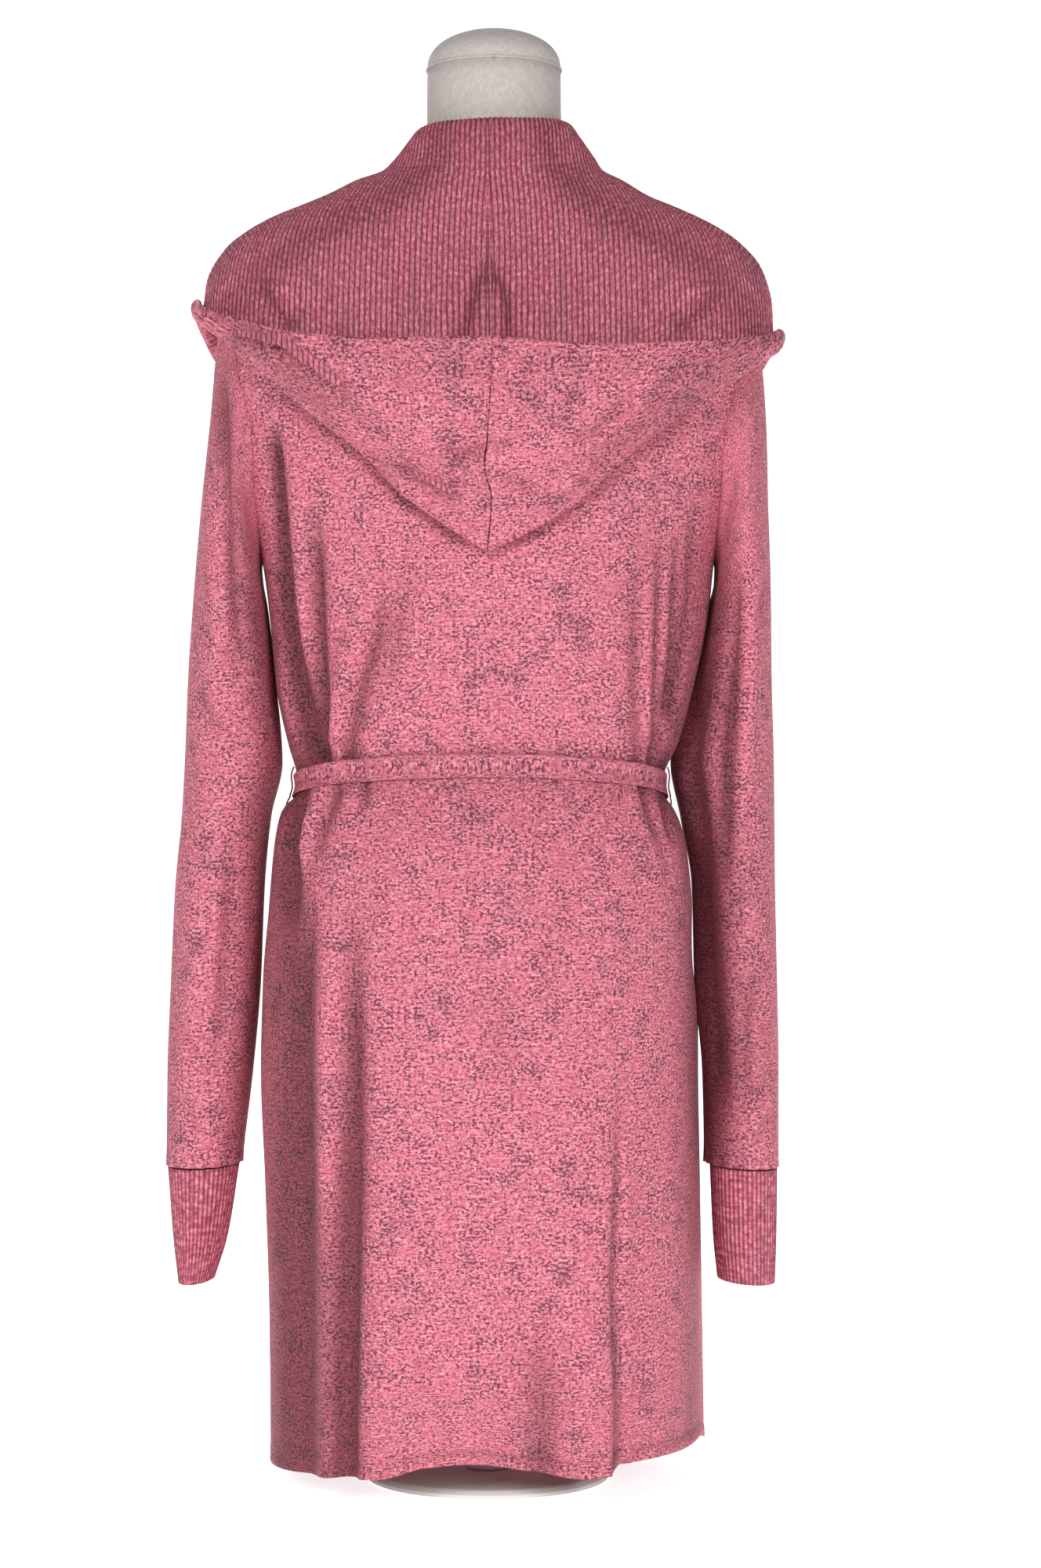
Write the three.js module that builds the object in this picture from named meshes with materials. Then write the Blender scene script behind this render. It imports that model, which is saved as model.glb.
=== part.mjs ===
// A hooded, open-front cardigan tied with its own belt, worn by a limbless dress form on a pole and base.
// Millimetres, +Z up. The origin is the centre of the base's underside. The wearer faces -Y, so the back
// of the cardigan faces +Y and the wearer's left is +X.
//
// Every cloth piece is a thin wall. Its middle surface is laid on one body surface, bodyPoint(angle, level,
// out): the angle runs round the body in degrees from the centre back, positive towards +X, the level is a
// height that dips with the belt near the waist, and out is the distance off the body surface.

import * as THREE from "three";

// Cloth
const CLOTH = 1.2;
const RIB_CLOTH = 1.6;
const SEAM_GAP = 0.4;
const LAYER_GAP = 0.75;
const ROUNDNESS = 2.25;

// Belt: the band dips from the centre back towards the knot
const BELT_LEVEL = 497;
const BELT_WIDTH = 17;
const BELT_THICKNESS = 2.2;
const BELT_DIP = 14.5;
const BELT_REACH = 70;
const BELT_OUT = 2.6;
const BELT_FRONT_OUT = 4;
const KNOT_ANGLE = 172;
const TAIL_DROP = 19;
const TAIL_LENGTH = 255;
const TAIL_SPREAD = 6;
const TAIL_OUT = 8;

// Armholes, from the underarm to the shoulder point
const UNDERARM = 640;
const SHOULDER = 843;
const ARMHOLE_BACK = 52;
const ARMHOLE_FRONT = 48;
const ARMHOLE_STEPS = 10;

// Neckline
const NECK_BACK_LEVEL = 894;
const NECK_SIDE_LEVEL = 900;
const OVERLAP_OUT = 3.6;

// Dress form
const NECK_TOP = 985;
const CAP_TOP = 1013;
const NECK_SHIFT = -4.5;
const FORM_BOTTOM = 190;
const POLE_RADIUS = 12.5;
const BASE_RADIUS = 85;
const BASE_HEIGHT = 6;

// Half widths of the worn cardigan at each level: left (+X), right (-X), back (+Y), front (-Y)
const BODY_RINGS = [
  [10, 151, 145, 128, 118],
  [110, 152, 144, 127, 117],
  [205, 155, 143, 126, 116],
  [285, 158, 142, 125, 114],
  [350, 156.5, 142, 124, 112],
  [400, 152.5, 142.5, 121, 110],
  [436, 150, 140, 115, 107],
  [461, 147.5, 136.5, 107, 103],
  [480, 143, 130, 98, 97],
  [BELT_LEVEL - 8.5, 134.5, 124, 94.5, 94],
  [BELT_LEVEL, 132, 122, 93, 92],
  [BELT_LEVEL + 8.5, 133, 123, 93.5, 92.5],
  [525, 139, 130, 96, 96],
  [557, 147, 140.5, 100, 104],
  [604, 152, 152, 104, 117],
  [UNDERARM, 157, 158, 107, 124],
  [690, 171, 171, 109.5, 124],
  [735, 179, 180, 109.5, 114],
  [770, 187, 188, 106.5, 103],
  [805, 188, 188, 98, 92],
  [830, 185.5, 184.5, 88, 82],
  [SHOULDER, 180, 178.5, 81.5, 76],
  [855, 168, 165, 76, 71],
  [868, 145, 142, 71, 66],
  [879, 117, 115, 66, 62],
  [892, 88, 88, 60, 58],
  [NECK_SIDE_LEVEL, 66, 71, 57, 56],
  [920, 52, 59.5, 56, 56],
  [945, 47, 55, 56, 56],
];

// Half widths of the dress form: side, back, front
const FORM_RINGS = [
  [FORM_BOTTOM, 104, 80, 76],
  [FORM_BOTTOM + 4, 118, 91, 87],
  [FORM_BOTTOM + 16, 127, 98, 93],
  [250, 132, 104, 98],
  [300, 135, 110, 100],
  [350, 136, 113, 101],
  [400, 134, 109, 99],
  [450, 124, 96, 91],
  [500, 113, 84, 82],
  [550, 119, 87, 90],
  [604, 128, 94, 108],
  [640, 134, 98, 115],
  [690, 146, 102, 114],
  [735, 158, 102, 104],
  [770, 166, 98, 94],
  [805, 171, 90, 84],
  [830, 171, 80, 74],
  [840, 168, 75, 70],
  [850, 161, 71, 66],
  [862, 143, 66, 62],
  [873, 117, 61, 58],
  [886, 87, 55, 53],
  [895, 64, 52, 51],
  [906, 52, 50.5, 50.5],
  [925, 47.5, 50, 50],
  [NECK_TOP, 46.8, 49.5, 49.5],
];

// Where the left front's free edge lies at each level, as an angle; past 180 it has crossed the centre
const FRONT_EDGE = [
  [10, 200],
  [400, 198.8],
  [470, 198.4],
  [500, 194],
  [560, 181],
  [590, 177.9],
  [640, 173],
  [690, 170],
  [735, 168.1],
  [770, 166.9],
  [805, 165.2],
  [843, 162.9],
  [855, 161.3],
  [868, 157.5],
  [879, 151],
  [892, 138.9],
  [NECK_SIDE_LEVEL, 119.7],
];

// Height of the hem round the body, by angle
const HEM_LEVEL = [
  [-200, 20],
  [-110, 19],
  [-85, 29],
  [-36, 28],
  [-31, 22.5],
  [-24, 22],
  [-12, 25.5],
  [3, 30],
  [15, 28],
  [24, 22],
  [32, 20.5],
  [55, 16.5],
  [90, 15],
  [200, 20],
];

// How far the skirt's folds stand out at the hem, by angle
const HEM_FOLDS = [
  [-200, 4],
  [-180, -4],
  [-160, 5],
  [-140, -5],
  [-115, 4],
  [-90, 0],
  [-60, -3],
  [-38, -6],
  [-31, 5],
  [-24, 4],
  [-12, -8],
  [3, -18],
  [15, -9],
  [26, 6],
  [31, 7],
  [36, 0],
  [42, 4],
  [50, -3],
  [62, 1],
  [90, 0],
  [120, 4],
  [140, -5],
  [160, 5],
  [180, -4],
  [200, 4],
];

// Hood, from the centre back (0) over the shoulder (90) to the end of the front neckline (172):
// where its seam leaves the front neckline and how high it stands before it folds over
const HOOD_NECK_LEVEL = [
  [90, NECK_SIDE_LEVEL],
  [105, NECK_SIDE_LEVEL],
  [120, 879],
  [135, 855],
  [150, 805],
  [165, 735],
  [172, 690],
];
const HOOD_STAND = {
  left: [
    [0, 46],
    [45, 42],
    [90, 31],
    [105, 21],
    [114, 11],
    [127, 8],
    [172, 6],
  ],
  right: [
    [0, 46],
    [45, 45],
    [90, 39],
    [105, 26],
    [114, 12],
    [127, 8],
    [172, 6],
  ],
};
// the angle that its rim has reached
const HOOD_RIM_ANGLE = [
  [0, 0],
  [90, 90],
  [105, 101],
  [120, 113],
  [135, 127],
  [150, 142],
  [165, 157],
  [172, 165],
];
// the rim's level and the level of the bag's lower fold, on each side
const HOOD_RIM = {
  left: [
    [0, 775],
    [16, 775],
    [33, 781],
    [50, 796],
    [68, 810],
    [90, 822],
    [105, 811],
    [120, 789],
    [135, 762],
    [150, 728],
    [165, 694],
    [172, 674],
  ],
  right: [
    [0, 775],
    [18, 772],
    [34, 776],
    [50, 783],
    [64, 791],
    [90, 803],
    [105, 797],
    [120, 780],
    [135, 756],
    [150, 725],
    [165, 693],
    [172, 674],
  ],
};
const HOOD_FOOT = {
  left: [
    [0, 643],
    [9, 663],
    [15, 678],
    [23, 705],
    [36, 738],
    [46, 762],
    [69, 799],
    [90, 811],
    [105, 800],
    [120, 779],
    [135, 753],
    [150, 720],
    [165, 687],
    [172, 668],
  ],
  right: [
    [0, 643],
    [8, 657],
    [16, 673],
    [26, 703],
    [37, 731],
    [47, 752],
    [74, 783],
    [90, 792],
    [105, 787],
    [120, 770],
    [135, 747],
    [150, 717],
    [165, 686],
    [172, 668],
  ],
};
// how far the rim and the fallen lining stand off the body
const HOOD_RIM_OUT = [
  [0, 34],
  [30, 32],
  [50, 24],
  [70, 16],
  [90, 15],
  [172, 12],
];
const HOOD_LIE_OUT = {
  left: [
    [0, 6],
    [40, 8.5],
    [60, 11],
    [72, 12],
    [90, 9.5],
    [105, 9.5],
    [115, 11],
    [140, 7.5],
    [172, 7],
  ],
  right: [
    [0, 6],
    [40, 8.5],
    [60, 11],
    [72, 12],
    [90, 9.5],
    [105, 9],
    [115, 10],
    [140, 7.5],
    [172, 7],
  ],
};
// how much further out it bridges the corner between neck and shoulder
const HOOD_BRIDGE = {
  left: [
    [40, 0],
    [60, 2],
    [75, 3.5],
    [105, 4],
    [125, 2],
    [140, 0],
  ],
  right: [
    [40, 0],
    [60, 4],
    [75, 6],
    [105, 6],
    [125, 3],
    [140, 0],
  ],
};
const BRIDGE_END = 0.35;

// Sleeves: inner edge x and z, outer edge x and z, half depth, y of the middle
const SLEEVE_STATIONS = {
  left: [
    [159, 634, 188, 800, 55, 0],
    [158, 624, 194, 735, 57, 0],
    [155.5, 611, 200, 680, 57, -2],
    [152.5, 588, 205, 625, 56, -4],
    [149.5, 557, 209.6, 562, 55, -6],
    [145, 500, 212.3, 500, 53, -8],
    [153, 462, 214.5, 462, 52, -9],
    [157.5, 415, 219, 415, 50, -10],
    [160.5, 345, 222.5, 345, 48, -12],
    [166, 284, 225, 284, 45, -14],
    [174, 219, 226, 217, 39, -16],
  ],
  right: [
    [160, 634, 189.5, 798, 55, 0],
    [159.5, 624, 194.5, 735, 57, 0],
    [157.5, 611, 196, 680, 57, -2],
    [154.5, 588, 198, 625, 56, -4],
    [144.5, 557, 199, 560, 55, -7],
    [129.5, 500, 201, 498, 53, -11],
    [136.5, 462, 201.5, 462, 52, -13],
    [144.5, 415, 202, 415, 50, -14],
    [147.5, 345, 203.5, 345, 48, -14],
    [160, 284, 204.5, 284, 45, -14],
    [157.5, 219, 204.5, 216, 39, -14],
  ],
};
const CUFF_STATIONS = {
  left: [
    [176, 217.6, 224.8, 215.6, 37, -16],
    [184.5, 166, 221, 165, 32, -17],
    [193.5, 137, 217.5, 134, 31, -18],
  ],
  right: [
    [157.5, 217.6, 203.5, 214.6, 37, -14],
    [160, 166, 203, 165, 32, -15],
    [163, 137, 202, 134, 31, -16],
  ],
};

const LEVELS_BELOW_ARM = [
  0, 80, 170, 260, 340, 415, 462, BELT_LEVEL - 8.5, BELT_LEVEL, BELT_LEVEL + 8.5, 535, 585,
];
const LEVELS_ABOVE_ARM = [856, 869, 883, NECK_SIDE_LEVEL];

// ---- Curves through tables -----------------------------------------------------------------------

// A smooth curve through a table's rows, with no overshoot: rows are [place, value, value, ...].
function curve(table, place, column = 1) {
  const last = table.length - 1;
  if (place <= table[0][0]) return table[0][column];
  if (place >= table[last][0]) return table[last][column];
  let i = 0;
  while (table[i + 1][0] < place) i++;
  const run = (k) => table[k + 1][0] - table[k][0];
  const rate = (k) => (table[k + 1][column] - table[k][column]) / run(k);
  const slope = (k) => {
    if (k === 0) return rate(0);
    if (k === last) return rate(last - 1);
    const before = rate(k - 1);
    const after = rate(k);
    if (before * after <= 0) return 0;
    const w1 = 2 * run(k) + run(k - 1);
    const w2 = run(k) + 2 * run(k - 1);
    return (w1 + w2) / (w1 / before + w2 / after);
  };
  const h = run(i);
  const t = (place - table[i][0]) / h;
  const t2 = t * t;
  const t3 = t2 * t;
  return (
    (2 * t3 - 3 * t2 + 1) * table[i][column] +
    (t3 - 2 * t2 + t) * h * slope(i) +
    (3 * t2 - 2 * t3) * table[i + 1][column] +
    (t3 - t2) * h * slope(i + 1)
  );
}

const radians = THREE.MathUtils.degToRad;
const degrees = THREE.MathUtils.radToDeg;
const bell = (x, middle, width) => Math.exp(-(((x - middle) / width) ** 2));

// ---- The body surface ------------------------------------------------------------------------------

// The largest folds: the skirt's, which grow towards the hem, and the bodice's, gathered by the belt.
function foldOut(angle, level) {
  const skirt = Math.max(0, 1 - level / 400) ** 1.2 * curve(HEM_FOLDS, angle);
  const strip = 12 * bell(angle, -112, 20) * (1 - THREE.MathUtils.smoothstep(level, 285, 325));
  const gather = level > BELT_LEVEL ? bell(level, 548, 34) : 0.6 * bell(level, 450, 22);
  const clear = 1 - bell(level, BELT_LEVEL, 16);
  const lean = 47 - 0.17 * (level - 510);
  const pleats =
    3.5 * bell(angle, lean, 6) -
    4.5 * bell(angle, 58, 6) +
    3.5 * bell(angle, 70, 5) +
    3 * bell(angle, -50, 5) -
    3 * bell(angle, -58, 4) +
    3.5 * bell(angle, -66, 5) +
    3 * Math.cos(radians(8 * angle)) * bell(Math.abs(angle), 145, 28);
  return skirt + strip + gather * clear * pleats;
}

function ringPoint(angle, level) {
  const a = radians(angle);
  const across = Math.sin(a);
  const along = Math.cos(a);
  const side = curve(BODY_RINGS, level, across >= 0 ? 1 : 2);
  const deep = curve(BODY_RINGS, level, along >= 0 ? 3 : 4);
  const power = 2 / ROUNDNESS;
  const dip = BELT_DIP * (1 - along) * bell(level, BELT_LEVEL, BELT_REACH);
  return new THREE.Vector3(
    side * Math.sign(across) * Math.abs(across) ** power,
    deep * Math.sign(along) * Math.abs(along) ** power,
    level - dip,
  );
}

function bodyPoint(angle, level, out = 0) {
  const turn = angle > 180 ? angle - 360 : angle < -180 ? angle + 360 : angle;
  const step = 0.5;
  const up = ringPoint(turn, level + step).sub(ringPoint(turn, level - step));
  const round = ringPoint(turn + step, level).sub(ringPoint(turn - step, level));
  const normal = up.cross(round).normalize();
  return ringPoint(turn, level).addScaledVector(normal, out + foldOut(turn, level));
}

// ---- Closed walls from grids of points -------------------------------------------------------------

// On the centre plane, where two halves meet, a normal stays in that plane.
function gridNormals(grid, wrap) {
  const rows = grid.length;
  const cols = grid[0].length;
  return grid.map((row, i) =>
    row.map((point, j) => {
      const below = grid[Math.max(i - 1, 0)][j];
      const above = grid[Math.min(i + 1, rows - 1)][j];
      const before = wrap ? row[(j + cols - 1) % cols] : row[Math.max(j - 1, 0)];
      const after = wrap ? row[(j + 1) % cols] : row[Math.min(j + 1, cols - 1)];
      const normal = above.clone().sub(below).cross(after.clone().sub(before));
      if (Math.abs(point.x) < SEAM_GAP) normal.x = 0;
      return normal.normalize();
    }),
  );
}

// A closed wall from low to high along the grid's normals; wrap joins the last column to the first.
function wall(grid, low, high, wrap = false) {
  const rows = grid.length;
  const cols = grid[0].length;
  const normals = gridNormals(grid, wrap);
  const positions = [];
  for (const out of [low, high]) {
    for (let i = 0; i < rows; i++) {
      for (let j = 0; j < cols; j++) {
        positions.push(...grid[i][j].clone().addScaledVector(normals[i][j], out).toArray());
      }
    }
  }
  const at = (face, i, j) => face * rows * cols + i * cols + (j % cols);
  const faces = [];
  const quad = (a, b, c, d) => faces.push(a, b, c, a, c, d);
  const spans = wrap ? cols : cols - 1;
  for (let i = 0; i + 1 < rows; i++) {
    for (let j = 0; j < spans; j++) {
      quad(at(1, i, j), at(1, i + 1, j), at(1, i + 1, j + 1), at(1, i, j + 1));
      quad(at(0, i, j), at(0, i, j + 1), at(0, i + 1, j + 1), at(0, i + 1, j));
    }
  }
  for (let j = 0; j < spans; j++) {
    quad(at(0, 0, j), at(1, 0, j), at(1, 0, j + 1), at(0, 0, j + 1));
    quad(at(0, rows - 1, j), at(0, rows - 1, j + 1), at(1, rows - 1, j + 1), at(1, rows - 1, j));
  }
  if (!wrap) {
    for (let i = 0; i + 1 < rows; i++) {
      quad(at(0, i, 0), at(0, i + 1, 0), at(1, i + 1, 0), at(1, i, 0));
      quad(at(0, i, cols - 1), at(1, i, cols - 1), at(1, i + 1, cols - 1), at(0, i + 1, cols - 1));
    }
  }
  return solid(positions, faces);
}

// A closed body from rings of points, with a flat fan over each end.
function loft(rings) {
  const count = rings[0].length;
  const positions = rings.flatMap((ring) => ring.flatMap((p) => p.toArray()));
  const faces = [];
  for (let i = 0; i + 1 < rings.length; i++) {
    for (let j = 0; j < count; j++) {
      const k = (j + 1) % count;
      const low = i * count;
      const high = low + count;
      faces.push(low + j, low + k, high + k, low + j, high + k, high + j);
    }
  }
  [0, rings.length - 1].forEach((i) => {
    const middle = rings[i].reduce((sum, p) => sum.add(p), new THREE.Vector3()).divideScalar(count);
    const centre = positions.length / 3;
    positions.push(...middle.toArray());
    for (let j = 0; j < count; j++) {
      const a = i * count + j;
      const b = i * count + ((j + 1) % count);
      faces.push(...(i === 0 ? [centre, b, a] : [centre, a, b]));
    }
  });
  return solid(positions, faces);
}

// The geometry with its faces pointing out, whichever way round they were listed.
function solid(positions, faces) {
  const p = (i) => new THREE.Vector3().fromArray(positions, 3 * i);
  let volume = 0;
  for (let i = 0; i < faces.length; i += 3) {
    volume += p(faces[i]).dot(p(faces[i + 1]).cross(p(faces[i + 2])));
  }
  if (volume < 0) {
    for (let i = 0; i < faces.length; i += 3) {
      [faces[i + 1], faces[i + 2]] = [faces[i + 2], faces[i + 1]];
    }
  }
  const geometry = new THREE.BufferGeometry();
  geometry.setAttribute("position", new THREE.Float32BufferAttribute(positions, 3));
  geometry.setIndex(faces);
  geometry.computeVertexNormals();
  return geometry;
}

// ---- Panels ----------------------------------------------------------------------------------------

const steps = (count, make) => Array.from({ length: count + 1 }, (_, i) => make(i / count));

// How far round the armhole a level is: 0 at the underarm, 180 degrees at the shoulder point.
function armholeTurn(level) {
  const share = (level - UNDERARM) / (SHOULDER - UNDERARM);
  return Math.acos(THREE.MathUtils.clamp(1 - 2 * share, -1, 1));
}

const armholeLevels = steps(
  ARMHOLE_STEPS,
  (s) => UNDERARM + ((SHOULDER - UNDERARM) * (1 - Math.cos(Math.PI * s))) / 2,
);

// The angle at which a panel ends towards the side: the side seam, the armhole or the shoulder seam.
function sideAngle(level, back) {
  if (level <= UNDERARM || level >= SHOULDER) return 90;
  const depth = (back ? ARMHOLE_BACK : ARMHOLE_FRONT) * Math.sin(armholeTurn(level));
  const deep = curve(BODY_RINGS, level, back ? 3 : 4);
  const from = degrees(Math.acos((depth / deep) ** (ROUNDNESS / 2)));
  return back ? from : 180 - from;
}

const panelLevels = [...LEVELS_BELOW_ARM, ...armholeLevels, ...LEVELS_ABOVE_ARM];

// The back neckline dips between the shoulder seams.
function backNeckLevel(angle) {
  return NECK_SIDE_LEVEL - (NECK_SIDE_LEVEL - NECK_BACK_LEVEL) * Math.cos(radians(angle)) ** 2;
}

function panelLevel(level, angle) {
  const turn = angle > 180 ? angle - 360 : angle < -180 ? angle + 360 : angle;
  if (level === LEVELS_BELOW_ARM[0]) return curve(HEM_LEVEL, turn);
  if (level <= SHOULDER || Math.abs(turn) > 90) return level;
  const share = (level - SHOULDER) / (NECK_SIDE_LEVEL - SHOULDER);
  return SHOULDER + share * (backNeckLevel(turn) - SHOULDER);
}

function backPanel() {
  const columns = 16;
  const grid = panelLevels.map((level) =>
    steps(columns, (s) => {
      const angle = (2 * s - 1) * sideAngle(level, true);
      return bodyPoint(angle, panelLevel(level, angle)).add(new THREE.Vector3(0, SEAM_GAP / 2, 0));
    }),
  );
  return wall(grid, -CLOTH / 2, CLOTH / 2);
}

// The right front lies over the left one from the bust down.
function overlapOut(angle, level) {
  const round = THREE.MathUtils.smoothstep(angle, 135, 155);
  return OVERLAP_OUT * round * (1 - THREE.MathUtils.smoothstep(level, 600, 650));
}

// side is +1 for the left front and -1 for the right one, which lies over it.
function frontPanel(side) {
  const columns = 9;
  const grid = panelLevels.map((level) =>
    steps(columns, (s) => {
      const from = sideAngle(level, false);
      const angle = from + (curve(FRONT_EDGE, level) - from) * s;
      const over = side < 0 ? overlapOut(angle, level) : 0;
      const point = bodyPoint(side * angle, panelLevel(level, side * angle), over);
      return point.add(new THREE.Vector3(0, -SEAM_GAP / 2, 0));
    }),
  );
  return wall(grid, -CLOTH / 2, CLOTH / 2);
}

// ---- Sleeves and cuffs -----------------------------------------------------------------------------

// The armhole as a ring: up its back edge from the underarm to the shoulder point and down its front.
function armholeRing(side) {
  const edge = (level, back) => {
    const point = bodyPoint(side * sideAngle(level, back), level);
    return point.add(new THREE.Vector3(0, ((back ? 1 : -1) * SEAM_GAP) / 2, 0));
  };
  const back = armholeLevels.map((level) => edge(level, true));
  const front = armholeLevels.slice(1, -1).reverse().map((level) => edge(level, false));
  return [...back, ...front];
}

function stationRing(station, side) {
  const [innerX, innerZ, outerX, outerZ, halfDepth, middleY] = station;
  const count = 2 * ARMHOLE_STEPS;
  return Array.from({ length: count }, (_, i) => {
    const turn = (2 * Math.PI * i) / count;
    const share = (1 - Math.cos(turn)) / 2;
    return new THREE.Vector3(
      side * (innerX + (outerX - innerX) * share),
      middleY + halfDepth * Math.sin(turn),
      innerZ + (outerZ - innerZ) * share,
    );
  });
}

function sleeve(name, side) {
  const count = 2 * ARMHOLE_STEPS;
  const clearance = (i) => SEAM_GAP + 0.9 + 0.8 * ((1 + Math.cos((2 * Math.PI * i) / count)) / 2) ** 4;
  const top = armholeRing(side).map((p, i) => p.add(new THREE.Vector3(side * clearance(i), 0, 0)));
  const rings = SLEEVE_STATIONS[name].map((station) => stationRing(station, side));
  return wall([top, ...rings], -CLOTH / 2, CLOTH / 2, true);
}

function cuff(name, side) {
  const rings = CUFF_STATIONS[name].map((station) => stationRing(station, side));
  return wall(rings, -RIB_CLOTH / 2, RIB_CLOTH / 2, true);
}

// ---- Hood ------------------------------------------------------------------------------------------

// Points at equal distances along the fall of the hood, from its top fold to the foot of its bag.
function fallPoints(from, to, count) {
  const fine = steps(60, (s) => {
    const angle = from.angle + (to.angle - from.angle) * s;
    const level = from.level + (to.level - from.level) * s;
    const out = from.out + (to.out - from.out) * Math.min(1, 3 * s);
    const bridge = to.bridge * Math.sin(Math.PI * Math.min(1, s / BRIDGE_END));
    return { angle, level, out: out + bridge };
  });
  const length = [0];
  for (let i = 1; i < fine.length; i++) {
    const a = fine[i - 1];
    const b = fine[i];
    length.push(length[i - 1] + ringPoint(a.angle, a.level).distanceTo(ringPoint(b.angle, b.level)));
  }
  return steps(count, (s) => {
    const want = s * length[length.length - 1];
    let i = 1;
    while (i < length.length - 1 && length[i] < want) i++;
    const share = (want - length[i - 1]) / (length[i] - length[i - 1]);
    const blend = (key) => fine[i - 1][key] + (fine[i][key] - fine[i - 1][key]) * share;
    return { angle: blend("angle"), level: blend("level"), out: blend("out") };
  });
}

// One line of the hood from the neckline up to its top fold, down to the foot of the bag and up to the rim.
function hoodLine(place, name, side) {
  const seam = place <= 90 ? backNeckLevel(place) : curve(HOOD_NECK_LEVEL, place);
  const neckAngle =
    place <= 90 ? place : place < 105 ? 90 + 2 * (place - 90) : curve(FRONT_EDGE, seam) + 0.6;
  const stand = curve(HOOD_STAND[name], place);
  const top = seam + stand;
  const foldDrop = Math.min(5, 0.4 * stand);
  const rimAngle = curve(HOOD_RIM_ANGLE, place);
  const rim = curve(HOOD_RIM[name], place);
  const foot = curve(HOOD_FOOT[name], place);
  const bag = rim - foot;
  const lie = curve(HOOD_LIE_OUT[name], place);
  const rimOut = curve(HOOD_RIM_OUT, place);
  const footRise = Math.min(6, 0.5 * bag);
  const line = [
    { angle: neckAngle, level: seam + 1, out: 0.2 },
    { angle: neckAngle, level: seam + 0.5 * stand, out: 0 },
    { angle: neckAngle, level: top - foldDrop, out: 0.3 },
    { angle: neckAngle, level: top, out: 3 },
  ];
  const start = { angle: neckAngle, level: top - foldDrop, out: 5.8 };
  const end = { angle: rimAngle, level: foot + footRise, out: lie, bridge: curve(HOOD_BRIDGE[name], place) };
  line.push(...fallPoints(start, end, 5));
  line.push({ angle: rimAngle, level: foot, out: lie + 4 });
  line.push({ angle: rimAngle, level: foot + footRise, out: lie + 8 });
  line.push({ angle: rimAngle, level: foot + 0.65 * bag, out: Math.max(lie + 8, rimOut + 0.05 * bag) });
  line.push({ angle: rimAngle, level: rim, out: rimOut });
  return line.map((p) => bodyPoint(side * p.angle, p.level, p.out));
}

const HOOD_PLACES = [0, 10, 23, 39, 57, 78, 94, 105, 110, 117, 131, 151, 172];

function hoodGrid(name, side) {
  const lines = HOOD_PLACES.map((place) => hoodLine(place, name, side));
  const shift = new THREE.Vector3((side * SEAM_GAP) / 2 + side * 0.1, 0, 0);
  return lines[0].map((_, row) => lines.map((line) => line[row].clone().add(shift)));
}

// The two layers lie on either side of one middle surface. Its normals point to the shell's side on the
// left half and, because the right half is its mirror image, to the lining's side on the right half.
function hoodLayer(name, side, outside) {
  const near = side * outside * LAYER_GAP;
  const far = side * outside * (LAYER_GAP + CLOTH);
  return wall(hoodGrid(name, side), Math.min(near, far), Math.max(near, far));
}

// ---- Belt ------------------------------------------------------------------------------------------

function beltBand() {
  const columns = 42;
  const grid = [-1, 1].map((row) =>
    steps(columns, (s) => {
      const angle = KNOT_ANGLE * (2 * s - 1);
      const front = THREE.MathUtils.smoothstep(Math.abs(angle), 95, 140);
      const out = BELT_OUT + BELT_FRONT_OUT * front;
      return bodyPoint(angle, BELT_LEVEL + (row * BELT_WIDTH) / 2, out);
    }),
  );
  return wall(grid, -BELT_THICKNESS / 2, BELT_THICKNESS / 2);
}

function beltKnot() {
  const centre = bodyPoint(180, BELT_LEVEL, 12);
  const knot = new THREE.SphereGeometry(1, 12, 8);
  knot.deleteAttribute("normal");
  knot.deleteAttribute("uv");
  knot.scale(11.5, 7, 12);
  knot.translate(centre.x, centre.y, centre.z);
  return knot;
}

// The angle at which the front of the body is x away from the centre plane.
function frontAngle(x, level) {
  const side = curve(BODY_RINGS, level, x >= 0 ? 1 : 2);
  return 180 - Math.sign(x) * degrees(Math.asin((Math.abs(x) / side) ** (ROUNDNESS / 2)));
}

function beltTail(side) {
  const grid = steps(9, (s) =>
    [-1, 1].map((edge) => {
      const level = BELT_LEVEL - TAIL_DROP - TAIL_LENGTH * s;
      const x = side * (BELT_WIDTH / 2 + 2 + TAIL_SPREAD * s) + (edge * BELT_WIDTH) / 2;
      return bodyPoint(frontAngle(x, level), level, TAIL_OUT);
    }),
  );
  return wall(grid, -BELT_THICKNESS / 2, BELT_THICKNESS / 2);
}

// A thread loop sewn to the side seam above and below the belt and passing outside it.
function beltLoop(side) {
  const route = [
    [14, 1.6],
    [11, 4.2],
    [6, 5.2],
    [-6, 5.2],
    [-11, 4.2],
    [-14, 1.6],
  ].map(([rise, out]) => bodyPoint(side * 88, BELT_LEVEL + rise, out));
  const path = new THREE.CatmullRomCurve3(route);
  const section = new THREE.Shape().absarc(0, 0, 0.6, 0, 2 * Math.PI);
  return new THREE.ExtrudeGeometry(section, { steps: 8, curveSegments: 3, extrudePath: path });
}

// ---- Dress form ------------------------------------------------------------------------------------

// The neck stands a little to the right of the torso's middle.
const neckShift = (z) => NECK_SHIFT * THREE.MathUtils.smoothstep(z, 845, 900);

function formTorso() {
  const count = 32;
  const rings = FORM_RINGS.map(([z, side, back, front]) =>
    Array.from({ length: count }, (_, i) => {
      const turn = (2 * Math.PI * i) / count;
      const deep = Math.cos(turn) >= 0 ? back : front;
      return new THREE.Vector3(neckShift(z) + side * Math.sin(turn), deep * Math.cos(turn), z);
    }),
  );
  return loft(rings);
}

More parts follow.
